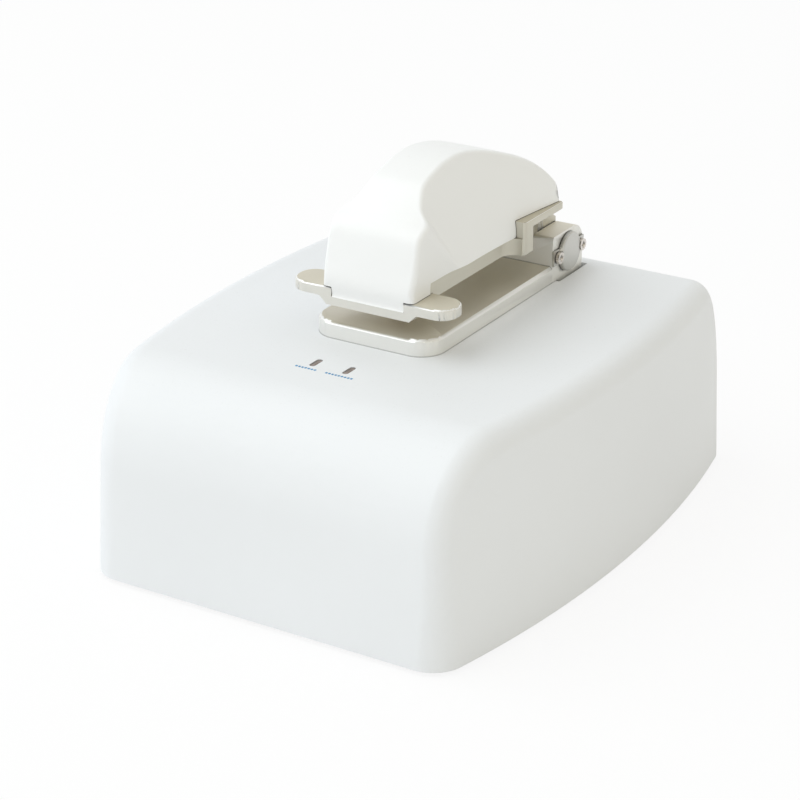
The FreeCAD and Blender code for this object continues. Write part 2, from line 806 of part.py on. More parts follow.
def hinge_bracket():
    """The clevis behind the stage: two cheeks, a low front web and a tenon through the deck."""
    body = new_body("bracket_body")
    front = "stage_rear"
    step = "(stage_rear + tenon_step)"
    corners = [
        (front, DECK), (step, DECK), (step, TENON_FOOT), ("bracket_rear", TENON_FOOT),
        ("bracket_rear", BRACKET_TOP), (front, BRACKET_TOP),
    ]
    pad(body, polygon(body, "YZ_Plane", corners), "2 * stage_half", midplane=True)
    slot_floor = f"({AXIS_HEIGHT} - knuckle_radius - slot_gap)"
    web_rear = "(hinge_place - knuckle_radius - slot_gap)"
    slot = [
        (web_rear, slot_floor), ("bracket_rear + 1", slot_floor), ("bracket_rear + 1", f"{BRACKET_TOP} + 1"),
        (f"{front} - 1", f"{BRACKET_TOP} + 1"), (f"{front} - 1", f"{DECK} + front_web_height"),
        (web_rear, f"{DECK} + front_web_height"),
    ]
    pocket(body, polygon(body, "YZ_Plane", slot), "2 * slot_half", midplane=True)
    top = deck + cell("bracket_height")

    def is_top_edge(edge, place):
        point = middle(edge)
        return runs_along(edge, "x") and point.z > top - 0.01 and abs(point.y - place) < 0.01

    dress(body, "Fillet", "bracket_round", lambda edge: is_top_edge(edge, cell("bracket_rear")))
    dress(body, "Chamfer", "bracket_chamfer", lambda edge: is_top_edge(edge, cell("stage_rear")))
    dress(body, "Chamfer", "0.5",
          lambda edge: abs(abs(middle(edge).x) - cell("stage_half")) < 0.01 and middle(edge).z > top - 0.01)
    axis = ("hinge_place", AXIS_HEIGHT)
    tools = [rod("+x", ("-stage_half - 1",) + axis, "bush_radius", "2 * stage_half + 2")]
    tools.append(rod("-x", ("stage_half + 1",) + axis, "damper_boss + fit_gap",
                     "damper_boss_depth + 1 + fit_gap"))
    for sign in ("-", "+"):
        site = ("stage_half + 1", f"hinge_place {sign} ear_screw_place", AXIS_HEIGHT)
        tools.append(rod("-x", site, "thread_radius", "7"))
    for side in ("-", ""):
        site = (f"{side}slot_half * 0.7", "(stage_rear + tenon_step + bracket_rear) / 2", f"{TENON_FOOT} - 1")
        tools.append(rod("+z", site, "thread_radius", "9"))
    node(cut(body, tools), "hinge_bracket")


def hinge_bushes():
    """Plain bushes pressed into the two cheeks."""
    axis = ("hinge_place", AXIS_HEIGHT)
    bore = "shaft_radius + shaft_clearance"
    right_depth = "(stage_half - slot_half - damper_boss_depth - fit_gap)"
    right = cut(rod("+x", ("slot_half",) + axis, "bush_radius - fit_gap / 2", right_depth),
                [rod("+x", ("slot_half - 1",) + axis, bore, f"{right_depth} + 2")])
    left_depth = "(stage_half - slot_half)"
    left = cut(rod("-x", ("-slot_half",) + axis, "bush_radius - fit_gap / 2", left_depth),
               [rod("-x", ("-slot_half + 1",) + axis, bore, f"{left_depth} + 2")])
    node(group([left, right]), "hinge_bushes")


def hinge_damper():
    """The rotary damper: boss in the cheek, eared flange and round cap with room for the screw heads."""
    face = "stage_half"
    axis = ("hinge_place", AXIS_HEIGHT)
    boss = rod("-x", (face,) + axis, "damper_boss", "damper_boss_depth")
    ears = block((face, f"{face} + ear_thickness"), ("hinge_place - ear_reach", "hinge_place + ear_reach"),
                 (f"{AXIS_HEIGHT} - ear_half", f"{AXIS_HEIGHT} + ear_half"))
    cap = rod("+x", (face,) + axis, "damper_disc", "damper_proud - 0.5")
    crown = cone("+x", (f"{face} + damper_proud - 0.5",) + axis, "damper_disc", "damper_disc - 0.5", "0.5")
    holes = []
    for sign in ("-", "+"):
        site = (f"{face} - 1", f"hinge_place {sign} ear_screw_place", AXIS_HEIGHT)
        holes.append(rod("+x", site, "thread_radius + fit_gap", "3"))
        seat = (f"{face} + ear_thickness", site[1], AXIS_HEIGHT)
        holes.append(rod("+x", seat, "head_radius + head_clearance", "damper_proud"))
    node(cut(fuse([boss, ears, cap, crown]), holes), "hinge_damper")
    seats = [(f"{face} + ear_thickness", f"hinge_place {sign} ear_screw_place", AXIS_HEIGHT)
             for sign in ("-", "+")]
    screws("damper_screws", "-x", seats, "ear_thickness + 5")


def hinge_shaft():
    """The shaft turns with the arm, a driving tongue at its right end."""
    axis = ("hinge_place", AXIS_HEIGHT)
    left_end = "(-stage_half + 0.4)"
    right_end = "(stage_half - damper_boss_depth - 0.4)"
    node(rod("+x", (left_end,) + axis, "shaft_radius", f"{right_end} - {left_end}"), "hinge_shaft")


# Arm


def arm_plate():
    """The arm's flat plate: narrow tongue under the cover's nose, flared at the rear to meet the leg."""
    body = new_body("arm_body")
    flare_reach = "(arm_half + flare_radius + 0.1)"
    flare_end = "(leg_front - 0.6)"
    right = [
        ("tongue_half", "-tongue_front"), ("tongue_half", "-arm_front"), ("arm_half", "-arm_front"),
        ("arm_half", flare_end), (flare_reach, flare_end), (flare_reach, "leg_front"),
    ]
    corners = right + [(f"-{x}", y) for x, y in reversed(right)]
    pad(body, polygon(body, "XY_Plane", corners, ARM_UNDER), "arm_thickness")
    rebate = rectangle(("-finger_front", "-finger_rear"), (f"{ARM_UNDER} - 1", FINGER_TOP))
    pocket(body, polygon(body, "YZ_Plane", rebate), "2 * stage_half + 4", midplane=True)
    inner = cell("arm_half")
    dress(body, "Fillet", "flare_radius",
          lambda edge: runs_along(edge, "z") and abs(abs(middle(edge).x) - inner) < 0.01
          and middle(edge).y > cell("leg_front") - 1)
    site = ("0", "-pedestal_place", f"{ARM_UNDER} - 1")
    tools = [rod("+z", site, "sleeve_radius + fit_gap", "arm_thickness + 2")]
    for x, y in cover_seats():
        tools.append(rod("+z", (x, y, f"{ARM_UNDER} - 1"), "thread_radius + fit_gap", "arm_thickness + 2"))
        tools.append(rod("+z", (x, y, f"{ARM_UNDER} - 1"), "head_radius + fit_gap", "head_height + 1.2"))
    for x, z in leg_seats():
        tools.append(rod("-y", (x, "leg_front + 1", z), "thread_radius", "9"))
    for x, y in finger_seats():
        tools.append(rod("+z", (x, y, f"{ARM_UNDER} - 1"), "thread_radius", "arm_thickness - 1"))
    node(cut(body, tools), "arm_plate")


def cover_seats():
    return [(f"{side}(arm_half - 7)", place) for side in ("-", "") for place in ("4", "leg_front - 14")]


def leg_seats():
    height = f"({ARM_UNDER} + arm_thickness / 2)"
    return [("-stage_half * 0.55", height), ("stage_half * 0.55", height)]


def finger_seats():
    place = "-(finger_front + finger_rear) / 2"
    return [("-finger_core + 8", place), ("finger_core - 8", place)]


def hinge_yoke():
    """Leg, rear bar and hinge knuckle, milled from one piece."""
    body = new_body("yoke_body")
    rear_of_leg = "(leg_front + leg_depth)"
    bar_under = f"({BAR_TOP} - bar_thickness)"
    corners = [
        ("leg_front", ARM_UNDER), (rear_of_leg, ARM_UNDER), (rear_of_leg, bar_under),
        ("bar_rear", bar_under), ("bar_rear", BAR_TOP), ("leg_front", BAR_TOP),
    ]
    pad(body, polygon(body, "YZ_Plane", corners), "2 * stage_half", midplane=True)
    front = "(hinge_place - knuckle_radius)"
    rear = "(hinge_place + knuckle_radius)"
    neck = [
        (front, f"{AXIS_HEIGHT}"), (rear, f"{AXIS_HEIGHT}"), (rear, f"{DECK} + neck_shoulder"),
        ("bar_rear", bar_under), ("bar_rear", f"{BAR_TOP} - 1"), (front, f"{BAR_TOP} - 1"),
    ]
    pad(body, polygon(body, "YZ_Plane", neck), "2 * knuckle_half", midplane=True)
    half = cell("stage_half")
    place = cell("leg_front")
    dress(body, "Chamfer", "leg_chamfer",
          lambda edge: runs_along(edge, "z") and abs(middle(edge).y - place) < 0.01)
    dress(body, "Chamfer", "0.5",
          lambda edge: runs_along(edge, "y") and abs(abs(middle(edge).x) - half) < 0.01)
    axis = ("hinge_place", AXIS_HEIGHT)
    knuckle = rod("+x", ("-knuckle_half",) + axis, "knuckle_radius", "2 * knuckle_half")
    tools = [rod("+x", ("-knuckle_half - 1",) + axis, "shaft_radius", "2 * knuckle_half + 2")]
    for x, z in leg_seats():
        tools.append(rod("+y", (x, "leg_front - 1", z), "thread_radius + fit_gap", "leg_depth + 2"))
        tools.append(rod("-y", (x, f"{rear_of_leg} + 1", z), "head_radius + fit_gap", "head_height + 1.2"))
    node(cut(fuse([body, knuckle]), tools), "hinge_yoke")
    seats = [(x, f"{rear_of_leg} - head_height - 0.2", z) for x, z in leg_seats()]
    screws("leg_screws", "-y", seats, "leg_screw_length", "key")


def finger_bar():
    """The bar under the nose, with an ear at each end for thumb and finger."""
    body = new_body("finger_body")
    slope = "(ear_underside - finger_underside)"
    corners = [
        ("-finger_core", f"{DECK} + finger_underside"), ("finger_core", f"{DECK} + finger_underside"),
        (f"finger_core + {slope}", f"{DECK} + ear_underside"), ("finger_tip", f"{DECK} + ear_underside"),
        ("finger_tip", FINGER_TOP), ("-finger_tip", FINGER_TOP), ("-finger_tip", f"{DECK} + ear_underside"),
        (f"-finger_core - {slope}", f"{DECK} + ear_underside"),
    ]
    pad(body, polygon(body, "XZ_Plane", corners, "finger_rear"), "finger_front - finger_rear")
    tip = cell("finger_tip")
    dress(body, "Fillet", "finger_tip_round",
          lambda edge: runs_along(edge, "z") and abs(abs(middle(edge).x) - tip) < 0.01)
    top = deck + cell("finger_rise")
    dress(body, "Chamfer", "0.8",
          lambda edge: middle(edge).z > top - 0.01 and edge.BoundBox.ZLength < 0.01)
    notch = block(("-lip_half", "lip_half"), ("-finger_front - 1", "-finger_front + lip_depth"),
                  (f"{DECK} + lip_underside", f"{FINGER_TOP} + 1"))
    tools = [notch]
    for x, y in finger_seats():
        tools.append(rod("+z", (x, y, f"{DECK}"), "thread_radius + fit_gap", "finger_rise + 2"))
        tools.append(rod("+z", (x, y, f"{DECK} + finger_underside - 1"), "head_radius + fit_gap",
                         "head_height + 1.3"))
    node(cut(body, tools), "finger_bar")
    seats = [(x, y, f"{DECK} + finger_underside + head_height + 0.3") for x, y in finger_seats()]
    screws("finger_screws", "+z", seats, "finger_screw_length", "key")


# Arm cover


def mirrored(point):
    """The same point on the left side."""
    return FreeCAD.Vector(-point.x, point.y, point.z)


def cover_stations():
    """All the sections' sizes: two for the nose's foot, which meets the finger bar, and the rest."""
    foot = (cell("cover_front_half"), cell("cover_front_half"), 0.2)
    stations = [
        (-cell("finger_front"), cell("lip_underside")) + foot,
        (-cell("finger_front"), cell("finger_rise")) + foot,
    ]
    for station in range(len(COVER_STATIONS)):
        stations.append(tuple(cell(f"cover_{station}_{name}") for name in STATION_PARTS))
    return stations


def fan_point(half, place, rise):
    """A point on the right side, by its half width, its place along the arm and its rise over the deck."""
    return FreeCAD.Vector(half, place, deck + rise)


def towards_hub(point, distance):
    """The point moved straight towards the line that the sections fan out from."""
    hub = FreeCAD.Vector(point.x, 0, deck + cell("lip_underside"))
    return point + (hub - point).normalize() * distance


def hub_corner(half, corner):
    """The inner corner of a section, on the small round about the fan's line."""
    hub = FreeCAD.Vector(half, 0, deck + cell("lip_underside"))
    ray = FreeCAD.Vector(0, corner.y - hub.y, corner.z - hub.z).normalize()
    return hub + ray * cell("cover_hub")


def skin_section(place, rise, half, hub_half, crown):
    """One cross-section of the outer skin: leaning sides, soft corners and a slightly crowned upper side."""
    corner = fan_point(half, place, rise)
    base = hub_corner(hub_half, corner)
    start, halfway, end = soft_corner(base, corner, mirrored(corner), cell("cover_edge"))
    peak = towards_hub(fan_point(0, place, rise), -crown)
    edges = [
        Part.makeLine(base, start),
        Part.Arc(start, halfway, end).toShape(),
        Part.Arc(end, peak, mirrored(end)).toShape(),
        Part.Arc(mirrored(end), mirrored(halfway), mirrored(start)).toShape(),
        Part.makeLine(mirrored(start), mirrored(base)),
        Part.makeLine(mirrored(base), base),
    ]
    return Part.Wire(edges)


def hollow_sections():
    """Plain cross-sections of the space inside, one wall in from the skin and open below the nose."""
    wall = cell("cover_wall")
    stations = cover_stations()
    sections = []
    for index, (place, rise, half, hub_half, crown) in enumerate(stations):
        before = stations[max(index - 1, 0)]
        after = stations[min(index + 1, len(stations) - 1)]
        along = FreeCAD.Vector(0, after[0] - before[0], after[1] - before[1]).normalize()
        inward = FreeCAD.Vector(0, along.z, -along.y) * wall
        corner = fan_point(half - wall, place, rise) + inward
        if index == 0:
            corner.z -= 2 * wall
        base = hub_corner(hub_half - wall, corner)
        sections.append(Part.makePolygon([base, corner, mirrored(corner), mirrored(base), base]))
    return sections


def fan_form(sections, smooth, end):
    """A solid through fanned sections, cut off square at the rear."""
    skin = form(Part.makeLoft(sections, True, not smooth), "fan")
    keep = block(("-2 * stage_half", "2 * stage_half"), ("-finger_front - 5", end),
                 (f"{DECK} + lip_underside - 10", f"{DECK} + 100"))
    return common(skin, keep)


def arm_cover():
    """The moulded arm cover: one skin from the nose over the hump, hollow, with a stepped lower edge."""
    skin = fan_form([skin_section(*station) for station in cover_stations()], True, "cover_end")
    hollow = fan_form(hollow_sections(), False, "cover_end - cover_wall")
    shell = cut(skin, [hollow])
    past = "(stage_half + 5)"
    seam = f"({ARM_TOP} + cover_seam)"
    tools = [
        block((f"-{past}", past), ("-arm_front", "bar_rear + 5"), (f"{DECK}", seam)),
        block((f"-{past}", past), ("leg_front - cover_seam", "bar_rear + 5"),
              (f"{DECK}", f"{BAR_TOP} + cover_seam")),
        block(("lip_half - cover_seam", past), ("-finger_front - 2", "-arm_front + 1"),
              (f"{DECK}", f"{FINGER_TOP} + cover_seam")),
        block((f"-{past}", "-lip_half + cover_seam"), ("-finger_front - 2", "-arm_front + 1"),
              (f"{DECK}", f"{FINGER_TOP} + cover_seam")),
        block((f"-{past}", past), ("-finger_front + lip_depth - cover_seam", "-arm_front + 1"),
              (f"{DECK}", f"{FINGER_TOP} + cover_seam")),
        block(("-cover_front_half + cover_wall", "cover_front_half - cover_wall"),
              ("-finger_front + cover_wall", "-arm_front + 1"), (f"{DECK}", seam)),
    ]
    trimmed = cut(shell, tools)
    bosses = []
    bores = []
    for x, y in cover_seats():
        bosses.append(rod("+z", (x, y, seam), "boss_radius - 0.5", "60"))
        bores.append(rod("+z", (x, y, f"{seam} - 1"), "thread_radius", "cover_screw_length - 2"))
    pillars = common(fuse(bosses), skin)
    node(cut(fuse([trimmed, pillars]), bores), "arm_cover")
    seats = [(x, y, f"{ARM_UNDER} + head_height + 0.2") for x, y in cover_seats()]
    screws("cover_screws", "+z", seats, "cover_screw_length", "key")


# Upper pedestal and its drive


def upper_pedestal():
    """The guide sleeve, the sliding upper pedestal with its fibre, and the motor that moves it."""
    site = ("0", "-pedestal_place")
    sleeve = fuse([
        rod("+z", site + (f"{ARM_UNDER} - 1.5",), "sleeve_radius + 1.5", "1.5"),
        rod("+z", site + (ARM_UNDER,), "sleeve_radius", "arm_thickness + 1"),
    ])
    bore = rod("+z", site + (f"{ARM_UNDER} - 3",), "plunger_radius + plunger_clearance", "arm_thickness + 6")
    node(cut(sleeve, [bore]), "guide_sleeve")
    collar_low = f"({ARM_TOP} + 3.5)"
    tip = cone("+z", site + (PLUNGER_FACE,), "pedestal_tip", "plunger_radius", "1.5")
    stem = rod("+z", site + (f"{PLUNGER_FACE} + 1.5",), "plunger_radius",
               f"{collar_low} - {PLUNGER_FACE} - 1.5")
    collar = rod("+z", site + (collar_low,), "plunger_radius + 2", "3")
    thread = rod("+z", site + (f"{collar_low} - 4",), "motor_screw + 0.4", "8")
    core_bore = rod("+z", site + (f"{PLUNGER_FACE} - 1",), "(fibre_radius + fit_gap) / 2", "12")
    node(cut(fuse([tip, stem, collar]), [thread, core_bore]), "upper_pedestal")
    node(rod("+z", site + (PLUNGER_FACE,), "fibre_radius / 2", "11"), "receiving_fibre")
    seat = f"({MOTOR_SEAT})"
    can = rod("+z", site + (seat,), "motor_radius", "motor_height")
    spindle = rod("-z", site + (seat,), "motor_screw", f"{seat} - {collar_low} + 2")
    node(fuse([can, spindle]), "path_motor")
    half = "motor_bracket_half"
    legs = [block((f"{side}", f"{side} + motor_plate"),
                  ("-pedestal_place - motor_radius", "-pedestal_place + motor_radius"),
                  (ARM_TOP, seat)) for side in (f"-{half}", f"{half} - motor_plate")]
    top = block((f"-{half}", half), ("-pedestal_place - motor_radius", "-pedestal_place + motor_radius"),
                (f"{seat} - motor_plate", seat))
    hole = rod("+z", site + (f"{seat} - motor_plate - 1",), "motor_screw + 1", "motor_plate + 2")
    node(cut(fuse(legs + [top]), [hole]), "motor_bracket")


# Indicator lights


def indicator_lights():
    """Two light pipes in the deck and the small board that carries their lamps."""
    pipes = []
    for place in light_places():
        stem = light_form(place, "fit_gap", f"{UNDER_DECK}", "wall - 0.3")
        flange = block((f"{place} - light_width", f"{place} + light_width"),
                       ("-light_place - light_length * 0.7", "-light_place + light_length * 0.7"),
                       (f"{UNDER_DECK} - 1.5", UNDER_DECK))
        pipes.append(fuse([stem, flange]))
    node(group(pipes), "indicator_lights")
    board = block(("light_centre - light_spacing", "light_centre + light_spacing"),
                  ("-light_place - light_length", "-light_place + light_length"),
                  (f"{UNDER_DECK} - 1.5 - board_thickness", f"{UNDER_DECK} - 1.5"))
    node(board, "indicator_board")


# Rear panel with its sockets and switch


def rear_panel():
    """The metal panel behind the rear window, with its three cut-outs and two screws."""
    span = ("-window_half - panel_margin", "window_half + panel_margin")
    low = "foot_gap + window_low - panel_margin + 0.5"
    high = "foot_gap + window_high + panel_margin - 0.5"
    panel = block(span, (PANEL_BACK, PANEL), (low, high))
    through = (f"{PANEL_BACK} - 1", f"{PANEL} + 1")
    tools = [
        block(("usb_place - usb_half_width - fit_gap", "usb_place + usb_half_width + fit_gap"), through,
              (f"{SOCKETS} - usb_half_height - fit_gap", f"{SOCKETS} + usb_half_height + fit_gap")),
        rod("+y", ("jack_place", f"{PANEL_BACK} - 1", SOCKETS), "jack_radius - 1", "panel_thickness + 2"),
        block(("switch_place - switch_half_width + 1", "switch_place + switch_half_width - 1"), through,
              (f"{SOCKETS} - switch_half_height + 1", f"{SOCKETS} + switch_half_height - 1")),
    ]
    seats = [(f"{side}(window_half + panel_margin / 2)", PANEL_BACK, SOCKETS) for side in ("-", "")]
    for x, y, z in seats:
        tools.append(rod("+y", (x, f"{PANEL_BACK} - 1", z), "thread_radius + fit_gap", "panel_thickness + 2"))
    node(cut(panel, tools), "rear_panel")
    screws("panel_screws", "+y", seats, "panel_thickness + 1.3", "cross")


def data_port():
    """A square data socket with its contact tongue."""
    x_span = ("usb_place - usb_half_width", "usb_place + usb_half_width")
    case = block(x_span, (f"{PANEL} - usb_depth", f"{PANEL} + 0.8"),
                 (f"{SOCKETS} - usb_half_height", f"{SOCKETS} + usb_half_height"))
    mouth = block(("usb_place - usb_half_width + 1.6", "usb_place + usb_half_width - 1.6"),
                  (f"{PANEL} - 9", f"{PANEL} + 2"),
                  (f"{SOCKETS} - usb_half_height + 1.5", f"{SOCKETS} + usb_half_height - 1.5"))
    tongue = block(("usb_place - 2.6", "usb_place + 2.6"), (f"{PANEL} - 9.5", f"{PANEL} - 1.5"),
                   (f"{SOCKETS} + 0.6", f"{SOCKETS} + 2.2"))
    node(fuse([cut(case, [mouth]), tongue]), "data_port")


def power_jack():
    """A round low-voltage inlet with its back nut, and its centre pin."""
    centre = ("jack_place", SOCKETS)

    def along(low):
        return (centre[0], low, centre[1])

    bezel = rod("+y", along(PANEL), "jack_radius", "1.2")
    barrel = rod("-y", along(PANEL), "jack_radius - 1.1", "jack_depth")
    nut = rod("-y", along(PANEL_BACK), "jack_radius + 1", "2")
    bore = rod("-y", along(f"{PANEL} + 2"), "jack_bore", "jack_depth - 1")
    node(cut(fuse([bezel, barrel, nut]), [bore]), "power_jack")
    node(rod("-y", along(PANEL), "jack_pin", "jack_depth - 3"), "jack_pin")


def power_switch():
    """The snap-in switch frame and the rocker that tilts in it."""
    x_span = ("switch_place - switch_half_width", "switch_place + switch_half_width")
    bezel = block(x_span, (PANEL, f"{PANEL} + 1.6"),
                  (f"{SOCKETS} - switch_half_height", f"{SOCKETS} + switch_half_height"))
    case = block(("switch_place - switch_half_width + 1.2", "switch_place + switch_half_width - 1.2"),
                 (f"{PANEL} - switch_depth", f"{PANEL} + 0.5"),
                 (f"{SOCKETS} - switch_half_height + 1.2", f"{SOCKETS} + switch_half_height - 1.2"))
    half_width = "(rocker_half_width + rocker_gap)"
    half_height = "(rocker_half_height + rocker_gap)"
    well = block((f"switch_place - {half_width}", f"switch_place + {half_width}"),
                 (f"{PANEL} - 7", f"{PANEL} + 3"),
                 (f"{SOCKETS} - {half_height}", f"{SOCKETS} + {half_height}"))
    reach = "(rocker_half_width + pivot_reach + 0.3)"
    bearing = rod("+x", (f"switch_place - {reach}", PIVOT, SOCKETS), "pivot_radius + shaft_clearance",
                  f"2 * {reach}")
    node(cut(fuse([bezel, case]), [well, bearing]), "switch_frame")
    rocker()


def rocker():
    """A rocker with two flat faces that meet in a shallow valley, and its pivot through both ends."""
    body = new_body("rocker_body")
    high = "rocker_half_height"
    corners = [
        (f"{PIVOT} - 2.6", f"{SOCKETS} - {high} * 0.5"), (f"{PIVOT} + 1.5", f"{SOCKETS} - {high}"),
        (f"{PIVOT} + 3.4", f"{SOCKETS} - {high} * 0.9"), (f"{PIVOT} + 3.2", SOCKETS),
        (f"{PIVOT} + 2.6", f"{SOCKETS} + {high} * 0.94"), (f"{PIVOT} + 1.0", f"{SOCKETS} + {high}"),
        (f"{PIVOT} - 2.6", f"{SOCKETS} + {high} * 0.5"),
    ]
    pad(body, polygon(body, "YZ_Plane", corners, "switch_place"), "2 * rocker_half_width", midplane=True)
    reach = "(rocker_half_width + pivot_reach)"
    pivot = rod("+x", (f"switch_place - {reach}", PIVOT, SOCKETS), "pivot_radius", f"2 * {reach}")
    node(fuse([body, pivot]), "power_rocker")


# Inner frame and modules


def inner_frame():
    """The folded frame that carries the hinge bracket on the chassis, with its two screws."""
    top = block(("-frame_half", "frame_half"), ("frame_front", "frame_rear"),
                (f"{TENON_FOOT} - frame_sheet", TENON_FOOT))
    parts = [top]
    for low in ("-frame_half", "frame_half - frame_sheet"):
        parts.append(block((low, f"{low} + frame_sheet"), ("frame_front", "frame_rear"),
                           (CHASSIS_TOP, TENON_FOOT)))
    holes = []
    seats = []
    for side in ("-", ""):
        x, y = f"{side}slot_half * 0.7", "(stage_rear + tenon_step + bracket_rear) / 2"
        holes.append(rod("+z", (x, y, f"{TENON_FOOT} - frame_sheet - 1"), "thread_radius + fit_gap",
                         "frame_sheet + 2"))
        seats.append((x, y, f"{TENON_FOOT} - frame_sheet"))
    node(cut(fuse(parts), holes), "bracket_frame")
    screws("bracket_screws", "+z", seats, "frame_sheet + 7", "key")


def modules():
    """The lamp, the spectrometer and the main board on its standoffs, all on the chassis."""
    lamp = block(("-lamp_half", "lamp_half"), ("-lamp_front", "lamp_rear"),
                 (CHASSIS_TOP, f"{CHASSIS_TOP} + lamp_height - 6"))
    port = rod("+z", ("0", "-pedestal_place", f"{CHASSIS_TOP} + lamp_height - 6"), "fibre_radius + 3", "6")
    node(fuse([lamp, port]), "flash_lamp")
    case = block(("spectrometer_left", "spectrometer_right"), ("-spectrometer_front", "spectrometer_rear"),
                 (CHASSIS_TOP, f"{CHASSIS_TOP} + spectrometer_height"))
    inlet = rod("-x", ("spectrometer_left", "0", f"{CHASSIS_TOP} + spectrometer_height / 2"), "4", "6")
    node(fuse([case, inlet]), "spectrometer")
    low = f"({CHASSIS_TOP} + board_lift)"
    board = block(("-board_left", "-board_right"), ("-board_front", "board_rear"),
                  (low, f"{low} + board_thickness"))
    node(board, "main_board")
    posts = []
    for x in ("-board_left + standoff_inset", "-board_right - standoff_inset"):
        for y in ("-board_front + standoff_inset", "board_rear - standoff_inset"):
            posts.append(rod("+z", (x, y, CHASSIS_TOP), "standoff_radius", "board_lift"))
    node(group(posts), "board_standoffs")


housing_shell()
chassis_plate()
rubber_feet()
chassis_screws()
stage_plate()
stage_fixings()
lower_pedestal()
hinge_bracket()
hinge_bushes()
hinge_damper()
hinge_shaft()
arm_plate()
hinge_yoke()
finger_bar()
arm_cover()
upper_pedestal()
indicator_lights()
rear_panel()
data_port()
power_jack()
power_switch()
inner_frame()
modules()
doc.recompute()

for feature in doc.Objects:
    if "Invalid" in feature.State or "Error" in feature.State:
        raise RuntimeError(f"{feature.Name} ({feature.Label}) failed: {feature.State}")
for feature in NODES:
    if feature.Shape.isNull() or not feature.Shape.isValid() or not feature.Shape.Solids:
        raise RuntimeError(f"{feature.Label} has no sound solid")

os.makedirs("parts", exist_ok=True)
for feature in NODES:
    feature.Shape.exportStep(f"parts/{feature.Label}.step")
    print(f"{feature.Label}: {len(feature.Shape.Solids)} solids, {feature.Shape.Volume / 1000:.2f} cm3")
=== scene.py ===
import json
import math

import bpy
from bpy.props import FloatProperty, FloatVectorProperty, PointerProperty
from mathutils import Euler, Matrix, Vector

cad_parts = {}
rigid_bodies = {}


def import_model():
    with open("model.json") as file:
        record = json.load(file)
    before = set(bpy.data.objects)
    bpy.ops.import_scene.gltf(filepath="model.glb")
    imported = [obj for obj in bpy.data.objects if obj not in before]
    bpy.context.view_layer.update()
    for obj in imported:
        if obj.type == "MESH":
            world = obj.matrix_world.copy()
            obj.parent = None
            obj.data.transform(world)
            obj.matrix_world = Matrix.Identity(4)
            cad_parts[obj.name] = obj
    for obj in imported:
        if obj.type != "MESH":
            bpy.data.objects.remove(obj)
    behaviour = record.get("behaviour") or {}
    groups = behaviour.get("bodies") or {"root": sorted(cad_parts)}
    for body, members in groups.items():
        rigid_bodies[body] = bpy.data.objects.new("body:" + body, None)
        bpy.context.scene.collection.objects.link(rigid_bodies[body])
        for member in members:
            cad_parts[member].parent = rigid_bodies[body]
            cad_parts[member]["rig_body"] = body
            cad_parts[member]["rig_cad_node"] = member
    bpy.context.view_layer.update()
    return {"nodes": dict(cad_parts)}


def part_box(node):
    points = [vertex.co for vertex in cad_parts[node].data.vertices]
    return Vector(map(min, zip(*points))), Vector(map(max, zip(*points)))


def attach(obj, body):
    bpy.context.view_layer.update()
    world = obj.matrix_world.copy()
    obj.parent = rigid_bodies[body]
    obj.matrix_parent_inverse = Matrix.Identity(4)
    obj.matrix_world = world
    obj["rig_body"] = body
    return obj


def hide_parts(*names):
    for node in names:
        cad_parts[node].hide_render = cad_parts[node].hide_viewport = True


bl_info = {
    "name": "Bench spectrophotometer",
    "version": (1, 0, 0),
    "blender": (4, 5, 0),
    "location": "3D View > Sidebar > Spectrophotometer",
    "description": "Finishes, small trim, studio and camera for a micro-volume spectrophotometer",
    "category": "Object",
}

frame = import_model()
MM = 0.001
WHITE = (1.0, 1.0, 1.0)


# Sizes and colours that a user may change

class HousingSettings(bpy.types.PropertyGroup):
    """Colours and grain of the moulded housing and arm cover."""

    housing_colour: FloatVectorProperty(
        name="Housing colour", description="Cool off-white of the housing", subtype="COLOR",
        size=3, min=0, max=1, default=(0.83, 0.845, 0.86))
    cover_colour: FloatVectorProperty(
        name="Cover colour", description="Brighter white of the arm cover", subtype="COLOR",
        size=3, min=0, max=1, default=(0.91, 0.915, 0.91))
    grain_size: FloatProperty(
        name="Grain size", description="Width of one grain of the housing's texture", subtype="DISTANCE",
        default=0.45 * MM, min=0.05 * MM, max=3 * MM)
    grain_depth: FloatProperty(
        name="Grain depth", description="Depth of the housing's texture", subtype="DISTANCE",
        default=0.02 * MM, min=0, max=0.5 * MM)


class MetalSettings(bpy.types.PropertyGroup):
    """Colours and textures of the metal parts."""

    anodised_colour: FloatVectorProperty(
        name="Anodised colour", description="Light grey of the anodised stage and bracket", subtype="COLOR",
        size=3, min=0, max=1, default=(0.855, 0.855, 0.83))
    arm_colour: FloatVectorProperty(
        name="Arm colour", description="Warmer grey of the anodised arm", subtype="COLOR",
        size=3, min=0, max=1, default=(0.65, 0.63, 0.555))
    edge_colour: FloatVectorProperty(
        name="Chamfer colour", description="Bright metal of the cut chamfers", subtype="COLOR",
        size=3, min=0, max=1, default=(0.96, 0.96, 0.95))
    steel_colour: FloatVectorProperty(
        name="Steel colour", description="Polished steel of screws and shafts", subtype="COLOR",
        size=3, min=0, max=1, default=(0.66, 0.62, 0.58))
    blast_size: FloatProperty(
        name="Blast size", description="Width of one pit of the blasted surface", subtype="DISTANCE",
        default=0.12 * MM, min=0.02 * MM, max=1 * MM)


